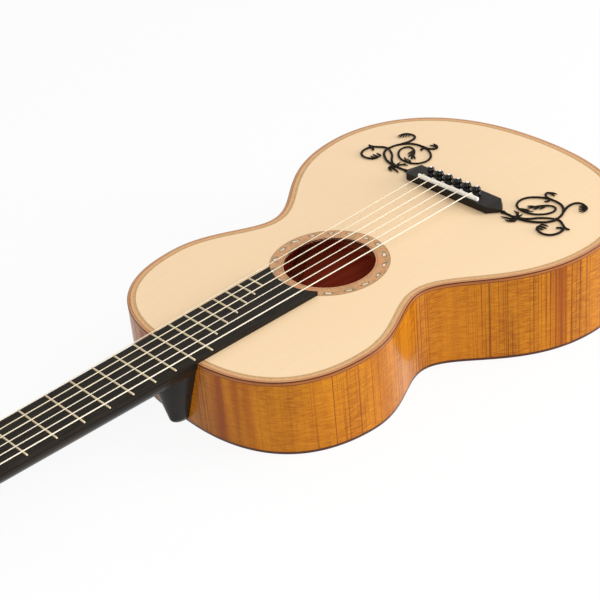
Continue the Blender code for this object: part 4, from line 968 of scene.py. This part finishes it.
def make_scrolls():
    """The vine scrolls on both sides of the bridge: strands, leaf blades and the stem's root in one piece."""
    for name, side, node in (("treble_scroll", 1.0, "scroll_treble"), ("bass_scroll", -1.0, "scroll_bass")):
        shells = [strand_shell(points, side) for points in STRANDS.values()]
        shells += [blade_shell(blade, side) for blade in BLADES] + [stem_root(side)]
        piece(name, shells, SCROLL_EBONY, stands_for=node, slot="ebony", crease=60.0)


# Fretboard and neck


def fret_y(number):
    """How far a fret lies from the saddle: the sounding length halves over every twelve frets."""
    return SCALE_LENGTH * 2 ** (-number / 12)


def make_frets():
    """Bone bars with a round crown over a square foot. The crown falls away in a short curve at both ends."""
    turn = np.linspace(0.0, math.pi, 11)
    ease, fall = np.array(FRET_END_EASE), np.array(FRET_END_FALL)
    rise = FRET_PROUD * np.concatenate((fall, fall[::-1]))[:, None]
    half = FRET_WIDTH / 2
    for number in range(1, FRET_COUNT + 1):
        y = fret_y(number)
        right = board_half_width(y) - FRET_INSET
        left = -right
        if number >= FIRST_SHORT_FRET:
            left = SHORT_FRET_START + SHORT_FRET_SLANT * (fret_y(FIRST_SHORT_FRET) - y)
        x = np.concatenate((left + ease, right - ease[::-1]))[:, None]
        crown = grid_of(x, y + half * np.cos(turn), BOARD_Z + rise * np.sin(turn) ** 0.8)
        foot = grid_of(x, (y - half, y + half), BOARD_Z - FRET_DEPTH)
        shells = [shell(lean(np.concatenate((crown, foot), axis=1)), caps=True)]
        piece(f"bone_fret_{number}", shells, FRET_BONE, stands_for=f"fret_{number}", slot="bone")


def neck_shaft():
    """A half ellipse carried from the body to the far side of the nut, with its flat side under the
    fretboard."""
    y = np.linspace(BODY_TOP_Y + GAP, NUT_END_Y, 40)[:, None]
    turn = np.linspace(0.0, math.pi, 41)
    wide = board_half_width(y)
    deep = wide * NECK_DEPTH / (NUT_WIDTH / 2)
    return shell(lean(grid_of(wide * np.cos(turn), y, TOP_Z - deep * np.sin(turn))), caps=True)


def body_end(x):
    """How far the body's edge reaches towards the neck at a distance from its middle line, with a gap."""
    near = HALF[:HEEL_OUTLINE_POINTS]
    return np.interp(np.abs(x), near[:, 0], near[:, 1]) + GAP


def heel():
    """Half ellipses from the neck down to the back. Width and reach shrink evenly and round off at the
    bottom, and the inner side follows the body's edge."""
    bottom = (BODY_TOP_Y + HEEL_REACH_AT_BACK) * TAPER_SLOPE + HEEL_FLOOR_GAP
    top = TOP_Z - GAP
    way = np.sin(np.linspace(0.0, math.pi / 2, 48))[:, None]
    wide = board_half_width(BODY_TOP_Y)
    rounding = np.sqrt(1 - (np.clip(way - HEEL_ROUND_FROM, 0.0, None) / HEEL_ROUND_SPAN) ** 2)
    across = (wide + (HEEL_WIDTH_AT_BACK / 2 - wide) * way) * rounding
    along = (HEEL_REACH + (HEEL_REACH_AT_BACK - HEEL_REACH) * way) * rounding
    turn = np.linspace(0.0, math.pi, 49)
    z = top + (bottom - top) * way
    x = across * np.cos(turn)
    front = grid_of(x, np.maximum(BODY_TOP_Y + along * np.sin(turn), body_end(x)), z)
    inner_x = across * np.linspace(-1.0, 1.0, 15)[1:-1]
    inner = grid_of(inner_x, body_end(inner_x), z)
    return shell(lean(np.concatenate((front, inner), axis=1)), caps=True)


def volute():
    """A swelling behind the nut: half ellipses that shrink to both ends and stop under the faces of the neck
    and the head."""
    way = np.sin(np.linspace(-math.pi / 2, math.pi / 2, 40))[:, None]
    size = np.sqrt(1 - way**2)
    turn = np.linspace(0.0, math.pi, 41)
    x = (NUT_WIDTH / 2 - GAP) * size * np.cos(turn)
    y = SCALE_LENGTH + VOLUTE_LENGTH * way
    face = TOP_Z - GAP - np.maximum(0.0, y - SCALE_LENGTH) * math.tan(HEAD_ANGLE)
    z = np.minimum(TOP_Z - (NECK_DEPTH - GAP) * size * np.sin(turn), face)
    return shell(lean(grid_of(x, y, z)))


def head_outline():
    """The figure-of-eight head from the nut to its tip and back: cubic curves joined at lobes and waist."""
    nut, tip = np.array((NUT_WIDTH / 2, 0.0)), np.array((0.0, HEAD_LENGTH))
    lower, waist, upper = np.array(HEAD_LOWER_LOBE), np.array(HEAD_WAIST), np.array(HEAD_UPPER_LOBE)
    out, up = np.eye(2)
    first, second, third = lower[1] / 2, (waist[1] - lower[1]) / 2, (upper[1] - waist[1]) / 2
    last = (tip[1] - upper[1]) * HEAD_ROUND_REACH
    runs = (
        bezier(nut, nut + first * up * HEAD_ROUND_REACH, lower - first * up, lower, 20),
        bezier(lower, lower + second * up, waist - second * up, waist, 20),
        bezier(waist, waist + third * up, upper - third * up, upper, 20),
        bezier(upper, upper + last * up, tip + upper[0] * HEAD_ROUND_REACH * out, tip, 28),
    )
    half = np.concatenate((*runs, tip[None]))
    return np.concatenate((half, half[-2::-1] * (-1.0, 1.0)))


def make_head():
    """A plate between two faces whose edges are rounded by quarter circles, drilled for the pegs."""
    loop = head_outline()[::-1]
    turn = np.radians(np.linspace(0.0, 90.0, 7))
    middle = np.array((0.0, HEAD_WAIST[1]))
    upper = [(HEAD_EDGE * (1 - math.sin(a)), -HEAD_EDGE * (1 - math.cos(a))) for a in turn]
    corners = upper + [(inset, -HEAD_THICKNESS - drop) for inset, drop in reversed(upper)]
    rows = [raised(inset_loop(loop, inset), z) for inset, z in corners]
    shares = np.linspace(0.0, 0.9, 4)[:, None]
    face = [raised(middle + (rows[0][:, :2] - middle) * share, rows[0][:, 2]) for share in shares]
    back = [raised(middle + (rows[-1][:, :2] - middle) * share, rows[-1][:, 2]) for share in shares[::-1]]
    shells = [shell(lean_head(np.stack((*face, *rows, *back))))]
    head = piece("head", shells, BLACK_POLISH, slot="black_polished_neck")
    drill(head, peg_places(), PEG_RADIUS + PEG_CLEARANCE, -2 * HEAD_THICKNESS, HEAD_THICKNESS, lean_head)


def make_neck():
    """The shaft with the swelling behind the nut, the heel and the head."""
    piece("neck_shaft", [neck_shaft(), volute()], BLACK_POLISH, stands_for="neck", slot="black_polished_neck")
    piece("cone_heel", [heel()], BLACK_POLISH, slot="black_polished_neck", crease=50.0)
    make_head()


def peg_places():
    """Where each string's peg stands on the head: the outer strings go to the pegs next to the nut."""
    rows = (0, 1, 2, 2, 1, 0)
    sides = (1, 1, 1, -1, -1, -1)
    return [(side * PEG_SPREADS[row] / 2, PEG_ROWS[row]) for side, row in zip(sides, rows)]


def make_pegs():
    """Friction pegs turned from one profile: shank, collar, hollow neck, slim stem and a rounded knob with a
    pearl in its end."""
    back = -HEAD_THICKNESS
    end = back - PEG_BACK
    stem, shank, collar = PEG_STEM_RADIUS, PEG_RADIUS, PEG_COLLAR_RADIUS
    knob_top = end + PEG_KNOB_LENGTH
    turn = np.linspace(0.0, PEG_KNOB_END, 20)
    half = (knob_top - end) / 2
    knob_x = stem * 0.6 + (PEG_KNOB_RADIUS - stem * 0.6) * np.sin(turn) ** 0.8
    knob = np.column_stack((knob_x, end + half + half * np.cos(turn)))
    way = np.linspace(0.0, 1.0, 6)[:-1]
    hollow_x = stem + (collar - stem) * (1.0 - way) ** 2 * 0.8
    hollow = np.column_stack((hollow_x, back - PEG_COLLAR - PEG_STEM_SPAN * way))
    start = (
        (0.0, PEG_FRONT), (shank * 0.7, PEG_FRONT - EDGE * 0.2), (shank - EDGE * 0.3, PEG_FRONT - EDGE * 0.7),
        (shank, PEG_FRONT - EDGE * 1.6), (shank, back - GAP), (collar - EDGE, back - GAP),
        (collar, back - GAP - EDGE), (collar, back - PEG_COLLAR + EDGE),
    )
    profile = np.concatenate((start, hollow, ((stem, knob_top + PEG_STEM_END),), knob[1:], ((0.0, end),)))
    pearl = pearl_profile(PEG_PEARL_RADIUS, end + PEG_PEARL_SUNK, -PEG_PEARL_CROWN, end + PEG_PEARL_DEPTH)
    make_turned("peg", "peg", peg_places(), 0.0, lean_head, profile, 48, pearl)


# Strings


def string_shell(index):
    """A tube up through the pin hole, over saddle and nut, and round the peg in a winding that drops one
    pitch a turn."""
    radius = STRING_RADII[index]
    x = string_share(index) * STRING_SPREAD_SADDLE
    saddle_y = x * math.tan(SADDLE_TURN)
    crown = SADDLE_CREST_Z - SADDLE_WIDTH / 2
    over = SADDLE_WIDTH / 2 + radius + GAP
    hole_y = PIN_Y + PIN_SHANK_RADIUS + (PIN_HOLE_RADIUS - PIN_SHANK_RADIUS) / 2
    plate_bottom = TOP_Z - SOUNDBOARD_THICKNESS - BRIDGE_PLATE_THICKNESS - 2 * GAP
    low_z = BRIDGE_TOP_Z - PIN_SLOT_DEPTH + radius + GAP
    start = (
        (x, hole_y, plate_bottom - STRING_TAIL), (x, hole_y, plate_bottom), (x, hole_y, low_z),
        (x, PIN_Y + PIN_COLLAR_RADIUS, BRIDGE_TOP_Z - radius - GAP),
    )
    turn = np.linspace(ARCH_START, 0.0, ARCH_POINTS)
    arch = grid_of(x, saddle_y - over * np.sin(turn), crown + over * np.cos(turn))
    nut_y, nut_z = SCALE_LENGTH + NUT_LENGTH * NUT_CROWN, BOARD_Z + STRING_ABOVE_BOARD_NUT
    nut = np.array((string_share(index) * STRING_SPREAD_NUT, nut_y, nut_z))
    run = arch[-1] + (nut - arch[-1]) * np.linspace(0.0, 1.0, 30)[1:, None]
    nut_x, nut_y = ((nut - HEAD_PLACE) @ HEAD_LEAN)[:2]
    peg_x, peg_y = peg_places()[index]
    side = math.copysign(1.0, peg_x)
    turn_radius = PEG_RADIUS + PEG_CLEARANCE / 2 + radius
    touch = math.acos(turn_radius / math.hypot(nut_x - peg_x, nut_y - peg_y))
    turns = np.arange(round(COIL_TURNS * COIL_STEPS) + 1) / COIL_STEPS
    angle = math.atan2(nut_y - peg_y, nut_x - peg_x) - side * touch - side * turns * 2 * math.pi
    height = COIL_ABOVE_HEAD - (2 * radius + COIL_GAP) * turns
    coil = grid_of(peg_x + turn_radius * np.cos(angle), peg_y + turn_radius * np.sin(angle), height)
    coil = from_head(coil)
    path = np.concatenate((start, arch, run, coil))
    ahead = directions(path)
    upward = np.cross((1.0, 0.0, 0.0), ahead)
    upward[-len(coil) :] = HEAD_LEAN[:, 2]
    upward -= ahead * np.sum(upward * ahead, axis=1)[:, None]
    upward /= np.linalg.norm(upward, axis=1)[:, None]
    size = np.full(len(path), radius)
    tube = carried(path, np.cross(ahead, upward), upward, size, size, circle(12))
    return shell(lean(tube), caps=True)


def make_strings():
    """Three plain strings and three wound ones."""
    for index in range(STRING_COUNT):
        finish = PLAIN_STRING if index < 3 else WOUND_STRING
        name, node = f"guitar_string_{index + 1}", f"string_{index + 1}"
        piece(name, [string_shell(index)], finish, stands_for=node, slot="string", crease=80.0)


def dress_kept_nodes():
    """Nodes whose shape is already right get their finish."""
    for finish, nodes in (
        (EBONY, ("fretboard",)),
        (BRIDGE_EBONY, ("bridge",)),
        (BONE, ("saddle", "nut")),
        (INNER_WOOD, ("neck_block", "tail_block", "top_lining", "back_lining", "bridge_plate")),
        (BRACE_WOOD, ("top_brace_upper", "top_brace_lower", "back_brace_upper", "back_brace_lower")),
    ):
        for node in nodes:
            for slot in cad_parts[node].material_slots:
                slot.material = finish


# Floor, light and camera


def make_floor():
    """A pale floor that keeps the shadow and shows lighter to the camera and in polish than to the wood."""
    mesh = bpy.data.meshes.new("floor")
    corners = FLOOR_REACH * np.array(((-1, -1), (1, -1), (1, 1), (-1, 1)))
    mesh.from_pydata(raised(corners, FLOOR_LEVEL), [], [(0, 1, 2, 3)])
    pale = Finish("floor", 0.0, Roughness=0.9, Base_Color=(0.95, 0.95, 0.95, 1.0))
    pale.show_instead(pale.shader.outputs, pale.add("Emission"), FLOOR_GLOW, "Material Output")
    mesh.materials.append(pale.material)
    placed("floor", mesh)


def make_world():
    """Even soft light from all round, and plain white where the camera or a polished surface sees it."""
    world = bpy.data.worlds.new("studio")
    bpy.context.scene.world = world
    world.use_nodes = True
    sky = Patterns(world.node_tree)
    soft = sky.add("Background", {"Color": WHITE, "Strength": DAYLIGHT})
    sky.show_instead(soft, sky.add("Background", {"Color": WHITE}), 1.0, "World Output")


def pose(right, up, back, place):
    """The pose of a lamp or camera that stands at a place, from its own three directions."""
    return Matrix(np.vstack((np.column_stack((right, up, back, place)), (0.0, 0.0, 0.0, 1.0))))


def make_lamp(name, place, aim, size, energy):
    """A square soft box that looks from its place to its aim."""
    lamp = bpy.data.lights.new(name, "AREA")
    lamp.size = size
    lamp.energy = energy
    back = np.array(place) - np.array(aim)
    back /= np.linalg.norm(back)
    right = np.cross((0.0, 1.0, 0.01), back)
    right /= np.linalg.norm(right)
    placed(name, lamp).matrix_world = pose(right, np.cross(back, right), back, place)


def make_camera():
    """The photograph's viewpoint, found from the frets and the body's outline."""
    focal_pixels, picture_pixels = 1634.415, 600.0
    camera = bpy.data.cameras.new("photo_view")
    camera.sensor_width = 36.0
    camera.lens = camera.sensor_width * focal_pixels / picture_pixels
    right = np.array((-0.67768521, -0.73081902, -0.081525))
    down = np.array((-0.35887825, 0.42546168, -0.830776))
    forward = np.array((0.64183266, -0.53374706, -0.55060414))
    place = np.array((-0.89311, 0.926659, 0.741637 + BOARD_Z))
    viewpoint = placed("photo_view", camera)
    viewpoint.matrix_world = Matrix.Rotation(-TAPER, 4, "X") @ pose(right, -down, -forward, place)
    bpy.context.scene.camera = viewpoint


make_camera()
make_soundboard()
make_rosette()
make_bindings()
make_back()
make_ribs()
make_pins()
make_scrolls()
make_frets()
make_neck()
make_pegs()
make_strings()
dress_kept_nodes()
make_floor()
make_world()
make_lamp("tail_softbox", (-0.8, -1.3, 1.9), (0.0, 0.1, 0.0), 1.2, 15.0)
make_lamp("side_softbox", (-1.7, -1.5, 0.5), (0.0, 0.1, 0.05), 1.1, 48.0)
make_lamp("neck_softbox", (-1.3, 1.5, 1.3), (0.0, 0.1, 0.0), 0.9, 20.0)
bpy.context.scene.view_settings.view_transform = "Standard"
